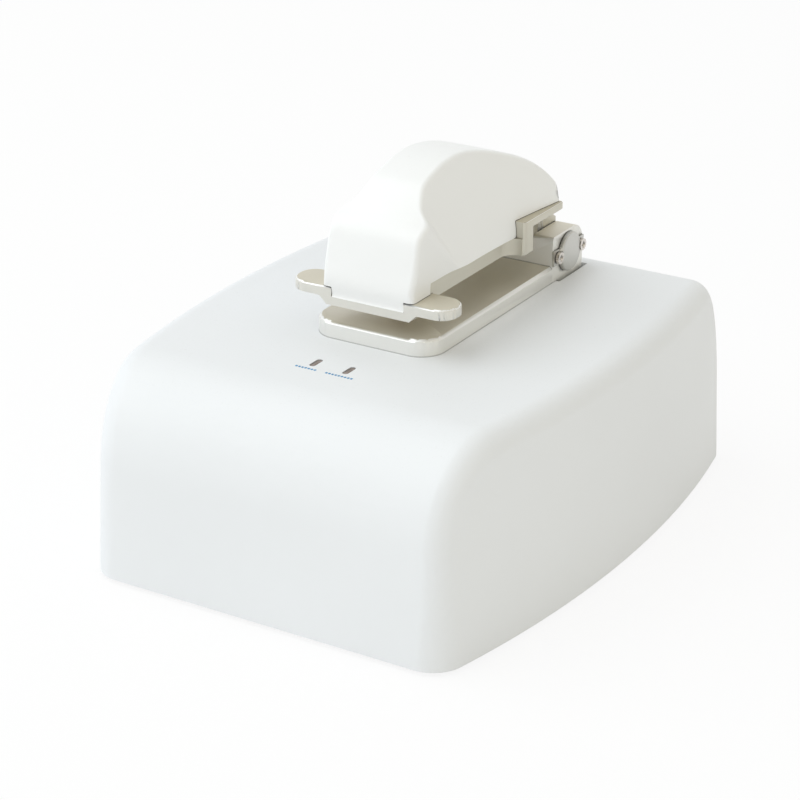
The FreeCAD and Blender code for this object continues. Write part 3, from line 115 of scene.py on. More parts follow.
class TrimSettings(bpy.types.PropertyGroup):
    """Sizes and colour of the small trim added to the assembly."""

    dash_length: FloatProperty(
        name="Dash length", description="Length of one printed dash by a light", subtype="DISTANCE",
        default=1.05 * MM, min=0.3 * MM, max=4 * MM)
    dash_width: FloatProperty(
        name="Dash width", description="Width of one printed dash", subtype="DISTANCE",
        default=1.30 * MM, min=0.1 * MM, max=3 * MM)
    dash_gap: FloatProperty(
        name="Dash gap", description="Bare deck between two dashes of a row", subtype="DISTANCE",
        default=0.55 * MM, min=0.1 * MM, max=3 * MM)
    print_colour: FloatVectorProperty(
        name="Print colour", description="Blue of the printed dashes", subtype="COLOR",
        size=3, min=0, max=1, default=(0.01, 0.25, 0.52))
    contact_width: FloatProperty(
        name="Contact width", description="Width of one contact in the data socket", subtype="DISTANCE",
        default=0.9 * MM, min=0.3 * MM, max=2 * MM)
    contact_length: FloatProperty(
        name="Contact length", description="Length of one contact in the data socket", subtype="DISTANCE",
        default=5.2 * MM, min=1 * MM, max=6 * MM)


class StudioSettings(bpy.types.PropertyGroup):
    """Light levels and colours of the studio."""

    key_power: FloatProperty(
        name="Key power", description="Power of the large cool light on the left", subtype="POWER",
        default=25.0, min=0, max=100)
    fill_power: FloatProperty(
        name="Fill power", description="Power of the warm light on the right", subtype="POWER",
        default=1.8, min=0, max=100)
    sky_level: FloatProperty(
        name="Ambient level", description="Level of the light that comes from all around",
        default=0.81, min=0, max=2)
    ceiling_level: FloatProperty(
        name="Ceiling level", description="Brightness of the ceiling in mirror reflections, 1 being white",
        default=0.70, min=0, max=1)
    left_colour: FloatVectorProperty(
        name="Left ambient colour", description="Cool ambient light from the left", subtype="COLOR",
        size=3, min=0, max=1, default=(0.955, 0.98, 1.0))
    right_colour: FloatVectorProperty(
        name="Right ambient colour", description="Warm ambient light from the right", subtype="COLOR",
        size=3, min=0, max=1, default=(0.79, 0.77, 0.69))
    mirrored_colour: FloatVectorProperty(
        name="Right mirrored colour", description="Warm wall on the right, seen in metal", subtype="COLOR",
        size=3, min=0, max=1, default=(0.90, 0.85, 0.72))
    floor_colour: FloatVectorProperty(
        name="Floor colour", description="Pale paper of the floor", subtype="COLOR",
        size=3, min=0, max=1, default=(0.92, 0.92, 0.92))


class CameraSettings(bpy.types.PropertyGroup):
    """Where the camera stands, as the photograph was taken."""

    azimuth: FloatProperty(
        name="Azimuth", description="Direction of the camera from the object, from +X towards +Y",
        subtype="ANGLE", default=math.radians(-58.6157), min=-math.pi, max=math.pi)
    elevation: FloatProperty(
        name="Elevation", description="Height of the camera as an angle over the floor",
        subtype="ANGLE", default=math.radians(23.5588), min=-math.pi / 2, max=math.pi / 2)
    distance: FloatProperty(
        name="Distance", description="From the point looked at to the camera", subtype="DISTANCE",
        default=1.18, min=0.3, max=5)
    aim: FloatVectorProperty(
        name="Aim", description="Point in the middle of the picture", subtype="TRANSLATION",
        size=3, default=(-0.00519, -0.00871, 0.05936))
    lens: FloatProperty(
        name="Lens", description="Focal length on a sensor 36 mm wide", unit="CAMERA",
        default=115.136, min=20, max=300)


# Nodes that groups, materials, floor and world share

def noise(tree, vector, scale, detail, roughness=0.5):
    """A noise texture on a vector; the scale, in features per metre, is a number or a socket."""
    texture = tree.nodes.new("ShaderNodeTexNoise")
    tree.links.new(vector, texture.inputs["Vector"])
    if isinstance(scale, (int, float)):
        texture.inputs["Scale"].default_value = scale
    else:
        tree.links.new(scale, texture.inputs["Scale"])
    texture.inputs["Detail"].default_value = detail
    texture.inputs["Roughness"].default_value = roughness
    return texture.outputs["Fac"]


def maths(tree, operation, first, second=None, clamp=False):
    """A math node on numbers or sockets."""
    node = tree.nodes.new("ShaderNodeMath")
    node.operation = operation
    node.use_clamp = clamp
    for index, value in enumerate((first, second)):
        if value is None:
            continue
        if isinstance(value, (int, float)):
            node.inputs[index].default_value = value
        else:
            tree.links.new(value, node.inputs[index])
    return node.outputs["Value"]


def spread(tree, value, from_low, from_high, to_low=0.0, to_high=1.0):
    """Map a value from one range to another, or to nought to one, held at the ends."""
    node = tree.nodes.new("ShaderNodeMapRange")
    tree.links.new(value, node.inputs["Value"])
    for label, number in (("From Min", from_low), ("From Max", from_high),
                          ("To Min", to_low), ("To Max", to_high)):
        node.inputs[label].default_value = number
    return node.outputs["Result"]


def height_part(tree, vector):
    """The Z part of a vector."""
    parts = tree.nodes.new("ShaderNodeSeparateXYZ")
    tree.links.new(vector, parts.inputs["Vector"])
    return parts.outputs["Z"]


def mix_colours(tree, factor, first, second):
    """Colour between two colours or sockets, by a changing factor."""
    node = tree.nodes.new("ShaderNodeMix")
    node.data_type = "RGBA"
    tree.links.new(factor, node.inputs["Factor"])
    for label, value in (("A", first), ("B", second)):
        socket = next(s for s in node.inputs if s.name == label and s.type == "RGBA")
        if isinstance(value, bpy.types.NodeSocket):
            tree.links.new(value, socket)
        else:
            socket.default_value = (*value, 1.0)
    return next(s for s in node.outputs if s.type == "RGBA")


def mix_shaders(tree, factor, first, second):
    """Shader between two shaders, by a factor."""
    node = tree.nodes.new("ShaderNodeMixShader")
    for socket, source in zip(node.inputs, (factor, first, second)):
        tree.links.new(source, socket)
    return node.outputs["Shader"]


# Node groups shared by the finishes

def start_group(name, inputs, outputs):
    """A new node group with its named sockets, and its input and output nodes."""
    tree = bpy.data.node_groups.new(name, "ShaderNodeTree")
    for label, kind, value in inputs:
        socket = tree.interface.new_socket(label, in_out="INPUT", socket_type=kind)
        if value is not None:
            socket.default_value = value
    for label in outputs:
        tree.interface.new_socket(label, in_out="OUTPUT", socket_type="NodeSocketFloat")
    return tree, tree.nodes.new("NodeGroupInput"), tree.nodes.new("NodeGroupOutput")


def make_moulded_grain():
    """Spark-eroded mould texture: fine grain, soft mottle and a little unevenness of gloss."""
    tree, given, result = start_group(
        "Moulded grain",
        [("Position", "NodeSocketVector", None), ("Grain size", "NodeSocketFloat", 0.5 * MM)],
        ["Height", "Gloss", "Shade"])
    place = given.outputs["Position"]
    fineness = maths(tree, "DIVIDE", 1.0, given.outputs["Grain size"])
    grain = noise(tree, place, fineness, detail=3, roughness=0.6)
    pits = tree.nodes.new("ShaderNodeTexVoronoi")
    tree.links.new(place, pits.inputs["Vector"])
    tree.links.new(fineness, pits.inputs["Scale"])
    grain_share, pit_share = 0.7, 0.3
    height = maths(tree, "ADD", maths(tree, "MULTIPLY", grain, grain_share),
                   maths(tree, "MULTIPLY", pits.outputs["Distance"], pit_share))
    tree.links.new(height, result.inputs["Height"])
    wide = noise(tree, place, scale=22.0, detail=4, roughness=0.55)
    tree.links.new(spread(tree, wide, 0.3, 0.7), result.inputs["Gloss"])
    broad = noise(tree, place, scale=7.0, detail=2)
    tree.links.new(spread(tree, broad, 0.25, 0.75), result.inputs["Shade"])


def make_blasted_metal():
    """Skin of anodised metal after bead blasting: small soft pits with slow changes of tone."""
    tree, given, result = start_group(
        "Blasted metal",
        [("Position", "NodeSocketVector", None), ("Pit size", "NodeSocketFloat", 0.1 * MM)],
        ["Height", "Gloss", "Tone"])
    place = given.outputs["Position"]
    fineness = maths(tree, "DIVIDE", 1.0, given.outputs["Pit size"])
    tree.links.new(noise(tree, place, fineness, detail=2, roughness=0.7), result.inputs["Height"])
    for label, scale in (("Gloss", 60.0), ("Tone", 16.0)):
        tree.links.new(spread(tree, noise(tree, place, scale, detail=3), 0.3, 0.7), result.inputs[label])


def make_worked_faces():
    """Masks of the sloping chamfers that a cutter leaves and of the level faces, which take painted shade.
    """
    tree, given, result = start_group(
        "Worked faces", [("Normal", "NodeSocketVector", None)], ["Cut", "Level"])
    # The normal's height is 0.71 on a chamfer of 45 degrees and 1 on a level face
    up = maths(tree, "ABSOLUTE", height_part(tree, given.outputs["Normal"]))
    rising = spread(tree, up, 0.52, 0.62)
    falling = spread(tree, up, 0.80, 0.90, 1.0, 0.0)
    tree.links.new(maths(tree, "MULTIPLY", rising, falling), result.inputs["Cut"])
    tree.links.new(spread(tree, up, 0.90, 0.96), result.inputs["Level"])


def make_resting_dust():
    """Faint dust on faces that look up."""
    tree, given, result = start_group(
        "Resting dust",
        [("Position", "NodeSocketVector", None), ("Normal", "NodeSocketVector", None)], ["Dust"])
    upward = spread(tree, height_part(tree, given.outputs["Normal"]), 0.4, 1.0)
    specks = noise(tree, given.outputs["Position"], scale=900.0, detail=5, roughness=0.7)
    sparse = spread(tree, specks, 0.60, 0.72)
    tree.links.new(maths(tree, "MULTIPLY", upward, sparse), result.inputs["Dust"])


def make_drawn_lines():
    """Fine parallel lines of drawn or brushed sheet, running along X."""
    tree, given, result = start_group(
        "Drawn lines",
        [("Position", "NodeSocketVector", None), ("Line width", "NodeSocketFloat", 0.2 * MM)],
        ["Height", "Gloss"])
    stretch = tree.nodes.new("ShaderNodeMapping")
    stretch.inputs["Scale"].default_value = (0.02, 1.0, 1.0)
    tree.links.new(given.outputs["Position"], stretch.inputs["Vector"])
    fineness = maths(tree, "DIVIDE", 1.0, given.outputs["Line width"])
    lines = noise(tree, stretch.outputs["Vector"], fineness, detail=3, roughness=0.65)
    tree.links.new(lines, result.inputs["Height"])
    tree.links.new(spread(tree, lines, 0.3, 0.7), result.inputs["Gloss"])


def make_turned_rings():
    """Fine rings left by a lathe round the X axis of the position."""
    tree, given, result = start_group(
        "Turned rings",
        [("Position", "NodeSocketVector", None), ("Ring width", "NodeSocketFloat", 0.3 * MM)],
        ["Height", "Gloss"])
    flat = tree.nodes.new("ShaderNodeVectorMath")
    flat.operation = "MULTIPLY"
    flat.inputs[1].default_value = (0.0, 1.0, 1.0)
    tree.links.new(given.outputs["Position"], flat.inputs[0])
    radius = tree.nodes.new("ShaderNodeVectorMath")
    radius.operation = "LENGTH"
    tree.links.new(flat.outputs["Vector"], radius.inputs[0])
    turns = maths(tree, "DIVIDE", radius.outputs["Value"], given.outputs["Ring width"])
    uneven = noise(tree, given.outputs["Position"], scale=90.0, detail=2)
    wave = maths(tree, "SINE", maths(tree, "ADD", maths(tree, "MULTIPLY", turns, math.tau), uneven))
    height = spread(tree, wave, -1.0, 1.0)
    tree.links.new(height, result.inputs["Height"])
    tree.links.new(height, result.inputs["Gloss"])


# Parts of a finish

class Finish:
    """A material under construction: its tree, its surface shader and its object-space inputs."""

    def __init__(self, name):
        self.material = bpy.data.materials.new(name)
        self.material.use_nodes = True
        self.tree = self.material.node_tree
        self.surface = self.tree.nodes["Principled BSDF"]
        places = self.tree.nodes.new("ShaderNodeTexCoord")
        self.position = places.outputs["Object"]
        self.normal = places.outputs["Normal"]

    def group(self, name, sizes=(), centre=None):
        """Place a shared group, feed it position and normal, and set its sizes."""
        node = self.tree.nodes.new("ShaderNodeGroup")
        node.node_tree = bpy.data.node_groups[name]
        if "Position" in node.inputs:
            source = self.position if centre is None else self.measured_from(centre)
            self.tree.links.new(source, node.inputs["Position"])
        if "Normal" in node.inputs:
            self.tree.links.new(self.normal, node.inputs["Normal"])
        for label, value in sizes:
            node.inputs[label].default_value = value
        return node.outputs

    def measured_from(self, centre):
        """Object position measured from a centre."""
        node = self.tree.nodes.new("ShaderNodeMapping")
        node.inputs["Location"].default_value = [-value for value in centre]
        self.tree.links.new(self.position, node.inputs["Vector"])
        return node.outputs["Vector"]

    def mix(self, factor, first, second):
        """Colour between two colours or sockets, by a changing factor."""
        return mix_colours(self.tree, factor, first, second)

    def between(self, factor, low, high):
        """A number from low to high, by a changing factor."""
        return spread(self.tree, factor, 0.0, 1.0, low, high)

    def crevice_shaded(self, body, shadow, reach):
        """Colour with painted shade: darker in narrow gaps and inside corners, within a reach in metres."""
        crevice = self.tree.nodes.new("ShaderNodeAmbientOcclusion")
        crevice.inputs["Distance"].default_value = reach
        open_share = spread(self.tree, crevice.outputs["AO"], 0.25, 0.80)
        return self.mix(open_share, shadow, body)

    def colour(self, socket):
        """Give the surface its colour."""
        self.tree.links.new(socket, self.surface.inputs["Base Color"])

    def roughness(self, socket):
        """Give the surface its roughness."""
        self.tree.links.new(socket, self.surface.inputs["Roughness"])

    def raise_by(self, height, depth):
        """Bump the surface by a height that spans the given depth in metres."""
        bump = self.tree.nodes.new("ShaderNodeBump")
        bump.inputs["Distance"].default_value = depth
        self.tree.links.new(height, bump.inputs["Height"])
        self.tree.links.new(bump.outputs["Normal"], self.surface.inputs["Normal"])

    def constant(self, **values):
        """Set plain numbers on the surface shader's own sockets."""
        for label, value in values.items():
            self.surface.inputs[label.replace("_", " ")].default_value = value


def tinted(colour, factor):
    """A colour made lighter or darker."""
    return tuple(min(value * factor, 1.0) for value in colour)


def moulded_plastic(name, colour, grain_size, grain_depth, rough, dust=None):
    """Moulded plastic: grain, slight mottle, uneven gloss, painted shade in gaps and corners and, where
    asked, faint dust on top.
    """
    finish = Finish(name)
    grain = finish.group("Moulded grain", [("Grain size", grain_size)])
    body = finish.mix(grain["Shade"], tinted(colour, 0.975), tinted(colour, 1.015))
    gloss = finish.between(grain["Gloss"], rough - 0.05, rough + 0.05)
    if dust is not None:
        specks = finish.group("Resting dust")["Dust"]
        body = finish.mix(finish.between(specks, 0.0, 0.35), body, dust)
        gloss = maths(finish.tree, "ADD", gloss, finish.between(specks, 0.0, 0.1), clamp=True)
    # Painted shade darkens the colour in narrow gaps and inside corners
    finish.colour(finish.crevice_shaded(body, shadow=tinted(colour, 0.30), reach=1.0 * MM))
    finish.roughness(gloss)
    finish.raise_by(grain["Height"], grain_depth)
    finish.constant(IOR=1.49)
    return finish.material


def anodised_metal(name, colour, edge_colour, pit_size):
    """Anodised aluminium: level faces darker and warmer by painted shade, rims milled and chamfers cut
    bright.
    """
    # Painted shade: level faces are coloured darker and warmer than the rims
    painted_level_shade = (0.93, 0.89, 0.80)
    cut_polish = 0.30
    finish = Finish(name)
    blast = finish.group("Blasted metal", [("Pit size", pit_size)])
    faces = finish.group("Worked faces")
    shaded_level_colour = [value * share for value, share in zip(colour, painted_level_shade)]
    rim = finish.mix(blast["Tone"], tinted(colour, 0.96), tinted(colour, 1.04))
    level = finish.mix(blast["Tone"], tinted(shaded_level_colour, 0.94), tinted(shaded_level_colour, 1.06))
    body = finish.mix(faces["Cut"], finish.mix(faces["Level"], rim, level), edge_colour)
    # Painted shade darkens the colour in narrow gaps and inside corners
    finish.colour(finish.crevice_shaded(body, shadow=tinted(colour, 0.18), reach=1.2 * MM))
    dull = finish.between(blast["Gloss"], 0.48, 0.56)
    kept = finish.between(faces["Cut"], 1.0, 1.0 - cut_polish)
    finish.roughness(maths(finish.tree, "MULTIPLY", dull, kept))
    finish.raise_by(blast["Height"], 0.006 * MM)
    finish.constant(Metallic=0.65)
    return finish.material


def turned_metal(name, colour, centre, ring_width, rough):
    """Lathe-turned metal with fine rings round a centre, and painted shade in gaps and corners."""
    finish = Finish(name)
    rings = finish.group("Turned rings", [("Ring width", ring_width)], centre)
    blast = finish.group("Blasted metal", [("Pit size", 0.2 * MM)])
    body = finish.mix(blast["Tone"], tinted(colour, 0.94), tinted(colour, 1.03))
    # Painted shade darkens the colour in narrow gaps and inside corners
    finish.colour(finish.crevice_shaded(body, shadow=tinted(colour, 0.12), reach=0.8 * MM))
    finish.roughness(finish.between(rings["Gloss"], rough - 0.06, rough + 0.06))
    finish.raise_by(rings["Height"], 0.004 * MM)
    finish.constant(Metallic=1.0)
    return finish.material


def drawn_sheet(name, colour, line_width, rough):
    """Drawn or brushed sheet metal."""
    finish = Finish(name)
    lines = finish.group("Drawn lines", [("Line width", line_width)])
    blast = finish.group("Blasted metal", [("Pit size", 1.5 * MM)])
    finish.colour(finish.mix(blast["Tone"], tinted(colour, 0.93), tinted(colour, 1.04)))
    finish.roughness(finish.between(lines["Gloss"], rough - 0.08, rough + 0.08))
    finish.raise_by(lines["Height"], 0.005 * MM)
    finish.constant(Metallic=1.0)
    return finish.material


def solder_masked_board(name, mask_colour, copper_colour):
    """Circuit board: solder mask over a faint pattern of tracks."""
    finish = Finish(name)
    tracks = finish.tree.nodes.new("ShaderNodeTexBrick")
    finish.tree.links.new(finish.position, tracks.inputs["Vector"])
    tracks.inputs["Scale"].default_value = 160.0
    tracks.inputs["Mortar Size"].default_value = 0.03
    track = tracks.outputs["Fac"]
    finish.colour(finish.mix(track, mask_colour, copper_colour))
    finish.roughness(finish.between(track, 0.25, 0.40))
    finish.raise_by(track, 0.03 * MM)
    finish.constant(Coat_Weight=0.4)
    return finish.material


def smoked_lens(name, colour):
    """Smoked light pipe: dull moulded face with a slow change of tint."""
    finish = Finish(name)
    grain = finish.group("Moulded grain", [("Grain size", 0.3 * MM)])
    finish.colour(finish.mix(grain["Shade"], tinted(colour, 0.85), tinted(colour, 1.15)))
    finish.roughness(finish.between(grain["Gloss"], 0.18, 0.30))
    finish.raise_by(grain["Height"], 0.01 * MM)
    finish.constant(Coat_Weight=0.5)
    return finish.material


def fused_silica(name):
    """Clear fused silica with a faint change of tint and gloss on its polished end."""
    finish = Finish(name)
    grain = finish.group("Moulded grain", [("Grain size", 0.2 * MM)])
    finish.colour(finish.mix(grain["Shade"], (0.90, 0.94, 0.97), (0.97, 0.98, 1.0)))
    finish.roughness(finish.between(grain["Gloss"], 0.02, 0.06))
    finish.constant(IOR=1.46, Transmission_Weight=0.9)
    return finish.material


def printed_ink(name, colour):
    """Screen-printed ink, slightly uneven in cover and gloss."""
    finish = Finish(name)
    grain = finish.group("Moulded grain", [("Grain size", 0.15 * MM)])
    finish.colour(finish.mix(grain["Gloss"], tinted(colour, 0.85), tinted(colour, 1.15)))
    finish.roughness(finish.between(grain["Gloss"], 0.40, 0.55))
    finish.raise_by(grain["Height"], 0.01 * MM)
    return finish.material


# Handling of objects

def pick(*objects):
    """Select only these objects and make the first one active."""
    bpy.ops.object.select_all(action="DESELECT")
    for item in objects:
        item.select_set(True)
    bpy.context.view_layer.objects.active = objects[0]


def paint(item, material):
    """Give an object one material in place of any it has."""
    item.data.materials.clear()
    item.data.materials.append(material)


def smooth_copy(node, crease):
    """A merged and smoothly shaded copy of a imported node, standing in its place."""
    source = frame["nodes"][node]
    pick(source)
    bpy.ops.object.duplicate()
    piece = bpy.context.active_object
    del piece["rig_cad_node"]
    piece.name = f"{node}_skin"
    bpy.ops.object.mode_set(mode="EDIT")
    bpy.ops.mesh.select_all(action="SELECT")
    bpy.ops.mesh.remove_doubles(threshold=0.002 * MM)
    bpy.ops.object.mode_set(mode="OBJECT")
    bpy.ops.object.shade_smooth_by_angle(angle=math.radians(crease), keep_sharp_edges=False)
    bpy.ops.object.modifier_add(type="WEIGHTED_NORMAL")
    weighting = piece.modifiers[0]
    weighting.mode = "FACE_AREA_WITH_ANGLE"
    weighting.keep_sharp = True
    bpy.ops.object.modifier_apply(modifier=weighting.name)
    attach(piece, source["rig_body"])
    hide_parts(node)
    return piece


def dress(nodes, material, crease=28.0):
    """Finish some nodes of one slot with smooth copies, creased over an angle in degrees."""
    for node in nodes:
        paint(smooth_copy(node, crease), material)


def eased_block(name, centre, size, ease, turn=0.0):
    """A small block with eased edges, turned about X, its place kept in its mesh."""
    bpy.ops.object.select_all(action="DESELECT")
    bpy.ops.mesh.primitive_cube_add(size=1.0, location=centre, scale=size, rotation=(turn, 0.0, 0.0))
    piece = bpy.context.active_object
    piece.name = name
    bpy.ops.object.transform_apply(location=True, rotation=True, scale=True)
    bpy.ops.object.mode_set(mode="EDIT")
    bpy.ops.mesh.select_all(action="SELECT")
    bpy.ops.mesh.bevel(offset=ease, segments=2, affect="EDGES")
    bpy.ops.object.mode_set(mode="OBJECT")
    return piece


def row_along_x(piece, pitch, count):
    """Copy a piece along X until there are as many as asked, and join them."""
    copies = [piece]
    for number in range(1, count):
        pick(piece)
        bpy.ops.object.duplicate()
        bpy.ops.transform.translate(value=(pitch * number, 0.0, 0.0))
        copies.append(bpy.context.active_object)
    pick(*copies)
    bpy.ops.object.join()
    bpy.ops.object.transform_apply(location=True, rotation=True, scale=True)
    return piece


# Operators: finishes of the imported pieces

class SPECTRO_OT_effects(bpy.types.Operator):
    """Build the node groups that the finishes share"""

    bl_idname = "spectro.effects"
    bl_label = "Shared effects"

    def execute(self, context):
        for make in (make_moulded_grain, make_blasted_metal, make_worked_faces, make_resting_dust,
                     make_drawn_lines, make_turned_rings):
            make()
        return {"FINISHED"}


class SPECTRO_OT_housing(bpy.types.Operator):
    """Finish the moulded housing"""

    bl_idname = "spectro.housing"
    bl_label = "Housing"

    def execute(self, context):
        housing = context.scene.spectro_housing
        material = moulded_plastic("Housing plastic", housing.housing_colour, housing.grain_size,
                                   housing.grain_depth, rough=0.46, dust=(0.62, 0.62, 0.60))
        dress(["housing_shell"], material, crease=32.0)
        return {"FINISHED"}


class SPECTRO_OT_cover(bpy.types.Operator):
    """Finish the moulded arm cover"""

    bl_idname = "spectro.cover"
    bl_label = "Arm cover"

    def execute(self, context):
        housing = context.scene.spectro_housing
        finer, shallower = 0.8, 0.6
        material = moulded_plastic("Cover plastic", housing.cover_colour, housing.grain_size * finer,
                                   housing.grain_depth * shallower, rough=0.40, dust=(0.72, 0.72, 0.70))
        dress(["arm_cover"], material, crease=32.0)
        return {"FINISHED"}


class SPECTRO_OT_anodised(bpy.types.Operator):
    """Finish the stage, hinge, arm and finger bar"""

    bl_idname = "spectro.anodised"
    bl_label = "Anodised parts"

    def execute(self, context):
        metal = context.scene.spectro_metal
        both = zip(metal.anodised_colour, metal.arm_colour)
        finger_colour = [(stage + arm) / 2 for stage, arm in both]
        for name, colour, nodes in (
                ("Anodised stage", metal.anodised_colour, ["stage_plate", "hinge_bracket"]),
                ("Anodised arm", metal.arm_colour, ["hinge_yoke", "arm_plate"]),
                ("Anodised finger bar", finger_colour, ["finger_bar"])):
            dress(nodes, anodised_metal(name, colour, metal.edge_colour, metal.blast_size))
        return {"FINISHED"}


class SPECTRO_OT_hinge_trim(bpy.types.Operator):
    """Finish the damper, the shaft, the pedestals, the bushes and the screws"""

    bl_idname = "spectro.hinge_trim"
    bl_label = "Damper, shaft and screws"

    def execute(self, context):
        steel = context.scene.spectro_metal.steel_colour
        low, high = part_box("hinge_shaft")
        axis = (low + high) / 2
        damper = turned_metal("Damper cap", (0.60, 0.595, 0.565), axis, ring_width=0.35 * MM, rough=0.42)
        dress(["hinge_damper"], damper)
        shaft = turned_metal("Ground steel", steel, axis, ring_width=0.2 * MM, rough=0.22)
        dress(["hinge_shaft", "lower_pedestal", "upper_pedestal", "jack_pin"], shaft)
        bush = turned_metal("Sintered bronze", (0.60, 0.42, 0.20), axis, ring_width=0.5 * MM, rough=0.45)
        dress(["hinge_bushes", "guide_sleeve"], bush)
        screws = turned_metal("Screw steel", tinted(steel, 1.05), axis, ring_width=0.15 * MM, rough=0.25)
        dress(["damper_screws", "panel_screws", "chassis_screws", "cover_screws", "leg_screws",
               "finger_screws", "stage_screws", "bracket_screws"], screws)
        return {"FINISHED"}


class SPECTRO_OT_sheet_metal(bpy.types.Operator):
    """Finish the sheet parts and the data socket's shell"""

    bl_idname = "spectro.sheet_metal"
    bl_label = "Sheet metal"

    def execute(self, context):
        sheet = drawn_sheet("Plated sheet", (0.58, 0.59, 0.60), line_width=0.25 * MM, rough=0.36)
        dress(["chassis_plate", "deck_stiffener", "rear_panel", "bracket_frame", "motor_bracket"],
              sheet)
        port = drawn_sheet("Drawn socket shell", (0.68, 0.68, 0.69), line_width=0.12 * MM, rough=0.28)
        dress(["data_port"], port)
        return {"FINISHED"}


class SPECTRO_OT_dark_parts(bpy.types.Operator):
    """Finish the feet, the inlet, the switch, the black optics and the motor"""

    bl_idname = "spectro.dark_parts"
    bl_label = "Rubber and black parts"

    def execute(self, context):
        rubber = moulded_plastic("Moulded rubber", (0.045, 0.045, 0.048), grain_size=0.6 * MM,
                                 grain_depth=0.05 * MM, rough=0.78)
        dress(["rubber_feet"], rubber)
        black = moulded_plastic("Black plastic", (0.030, 0.030, 0.033), grain_size=0.35 * MM,
                                grain_depth=0.02 * MM, rough=0.45)
        dress(["power_jack", "switch_frame"], black)
        rocker = moulded_plastic("Polished rocker", (0.020, 0.020, 0.022), grain_size=1.2 * MM,
                                 grain_depth=0.006 * MM, rough=0.18)
        dress(["power_rocker"], rocker)
        optics = moulded_plastic("Optical enamel", (0.045, 0.045, 0.050), grain_size=0.5 * MM,
                                 grain_depth=0.03 * MM, rough=0.55)
        dress(["flash_lamp", "spectrometer"], optics)
        motor = drawn_sheet("Motor can", (0.30, 0.31, 0.33), line_width=0.3 * MM, rough=0.35)
        dress(["path_motor"], motor)
        return {"FINISHED"}


class SPECTRO_OT_small_parts(bpy.types.Operator):
    """Finish the lights, the boards, the standoffs and the fibres"""

    bl_idname = "spectro.small_parts"
    bl_label = "Lights, boards and fibres"

    def execute(self, context):
        dress(["indicator_lights"], smoked_lens("Smoked light pipe", (0.33, 0.27, 0.24)))
        board = solder_masked_board("Solder mask", mask_colour=(0.010, 0.115, 0.045),
                                    copper_colour=(0.06, 0.22, 0.10))
        dress(["indicator_board", "main_board"], board)
        nylon = moulded_plastic("Natural nylon", (0.80, 0.79, 0.74), grain_size=0.4 * MM,
                                grain_depth=0.01 * MM, rough=0.5)
        dress(["board_standoffs"], nylon)
        dress(["source_fibre", "receiving_fibre"], fused_silica("Fused silica"))
        return {"FINISHED"}


# Operators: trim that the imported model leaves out

class SPECTRO_OT_light_marks(bpy.types.Operator):
    """Print a row of plain dashes in front of each light"""

    bl_idname = "spectro.light_marks"
    bl_label = "Dashes by the lights"

    def execute(self, context):
        trim = context.scene.spectro_trim
        lights_low, lights_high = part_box("indicator_lights")
        deck_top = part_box("stage_plate")[0].z
        row_y = lights_low.y - 1.2 * MM
        thickness = 0.04 * MM
        size = (trim.dash_length, trim.dash_width, thickness)
        ink = printed_ink("Printed blue", trim.print_colour)
        # Each row's side, the place of its first dash and its number of dashes
        rows = (("left", lights_low.x - 2.5 * MM, 7), ("right", lights_high.x - 10.0 * MM, 9))
        for side, first_x, count in rows:
            centre = (first_x, row_y, deck_top + thickness / 2)
            dash = eased_block(f"light_marks_{side}", centre, size, ease=0.01 * MM)
            paint(row_along_x(dash, trim.dash_length + trim.dash_gap, count), ink)
            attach(dash, "base")
        return {"FINISHED"}


class SPECTRO_OT_socket_contacts(bpy.types.Operator):
    """Lay two contacts on each side of the data socket's tongue"""

    bl_idname = "spectro.socket_contacts"
    bl_label = "Socket contacts"

    def execute(self, context):
        trim = context.scene.spectro_trim
        low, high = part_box("data_port")
        middle = (low + high) / 2
        tongue_low = middle.z + 0.6 * MM
        tongue_high = tongue_low + 1.6 * MM
        set_back = 6.0 * MM
        pitch = 2.4 * MM
        size = (trim.contact_width, trim.contact_length, 0.2 * MM)
        gold = drawn_sheet("Gold contact", (0.83, 0.62, 0.25), line_width=0.1 * MM, rough=0.25)
        for name, height in (("contacts_upper", tongue_high), ("contacts_lower", tongue_low)):
            centre = (middle.x - pitch / 2, high.y - set_back, height)
            strip = eased_block(name, centre, size, ease=0.05 * MM)
            paint(row_along_x(strip, pitch, 2), gold)
            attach(strip, "base")
        return {"FINISHED"}


class SPECTRO_OT_rocker_marks(bpy.types.Operator):
    """Inlay the on bar and the off ring in the rocker's two faces"""

    bl_idname = "spectro.rocker_marks"
    bl_label = "Rocker marks"

    def execute(self, context):
        low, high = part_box("power_rocker")
        middle = (low + high) / 2
        off_middle = 3.6 * MM
        bar_depth, ring_depth = 0.45 * MM, 0.12 * MM
        bar_size = (0.7 * MM, 0.25 * MM, 2.8 * MM)
        face_slope = math.radians(5.0)
        white = moulded_plastic("White inlay", (0.85, 0.85, 0.84), grain_size=0.3 * MM,
                                grain_depth=0.01 * MM, rough=0.5)
        bar = eased_block("on_mark", (middle.x, high.y - bar_depth, middle.z + off_middle), bar_size,
                          ease=0.06 * MM, turn=face_slope)
        paint(bar, white)
        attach(bar, "rocker")
        bpy.ops.object.select_all(action="DESELECT")
        bpy.ops.mesh.primitive_torus_add(
            major_radius=1.2 * MM, minor_radius=0.28 * MM, major_segments=40, minor_segments=10,
            location=(middle.x, high.y - ring_depth, middle.z - off_middle),
            rotation=(math.radians(90.0), 0.0, 0.0))
        ring = bpy.context.active_object
        ring.name = "off_mark"
        bpy.ops.transform.resize(value=(1.0, 0.5, 1.0), center_override=ring.location)
        bpy.ops.object.transform_apply(location=True, rotation=True, scale=True)
        bpy.ops.object.shade_smooth()
        paint(ring, white)
        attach(ring, "rocker")
        return {"FINISHED"}


# Operators: studio and camera

def seen_directly(tree):
    """One for rays from the camera and for mirror and clear rays, else nought."""
    path = tree.nodes.new("ShaderNodeLightPath")
    first = maths(tree, "ADD", path.outputs["Is Camera Ray"], path.outputs["Is Glossy Ray"], clamp=True)
    return maths(tree, "ADD", first, path.outputs["Is Transmission Ray"], clamp=True)


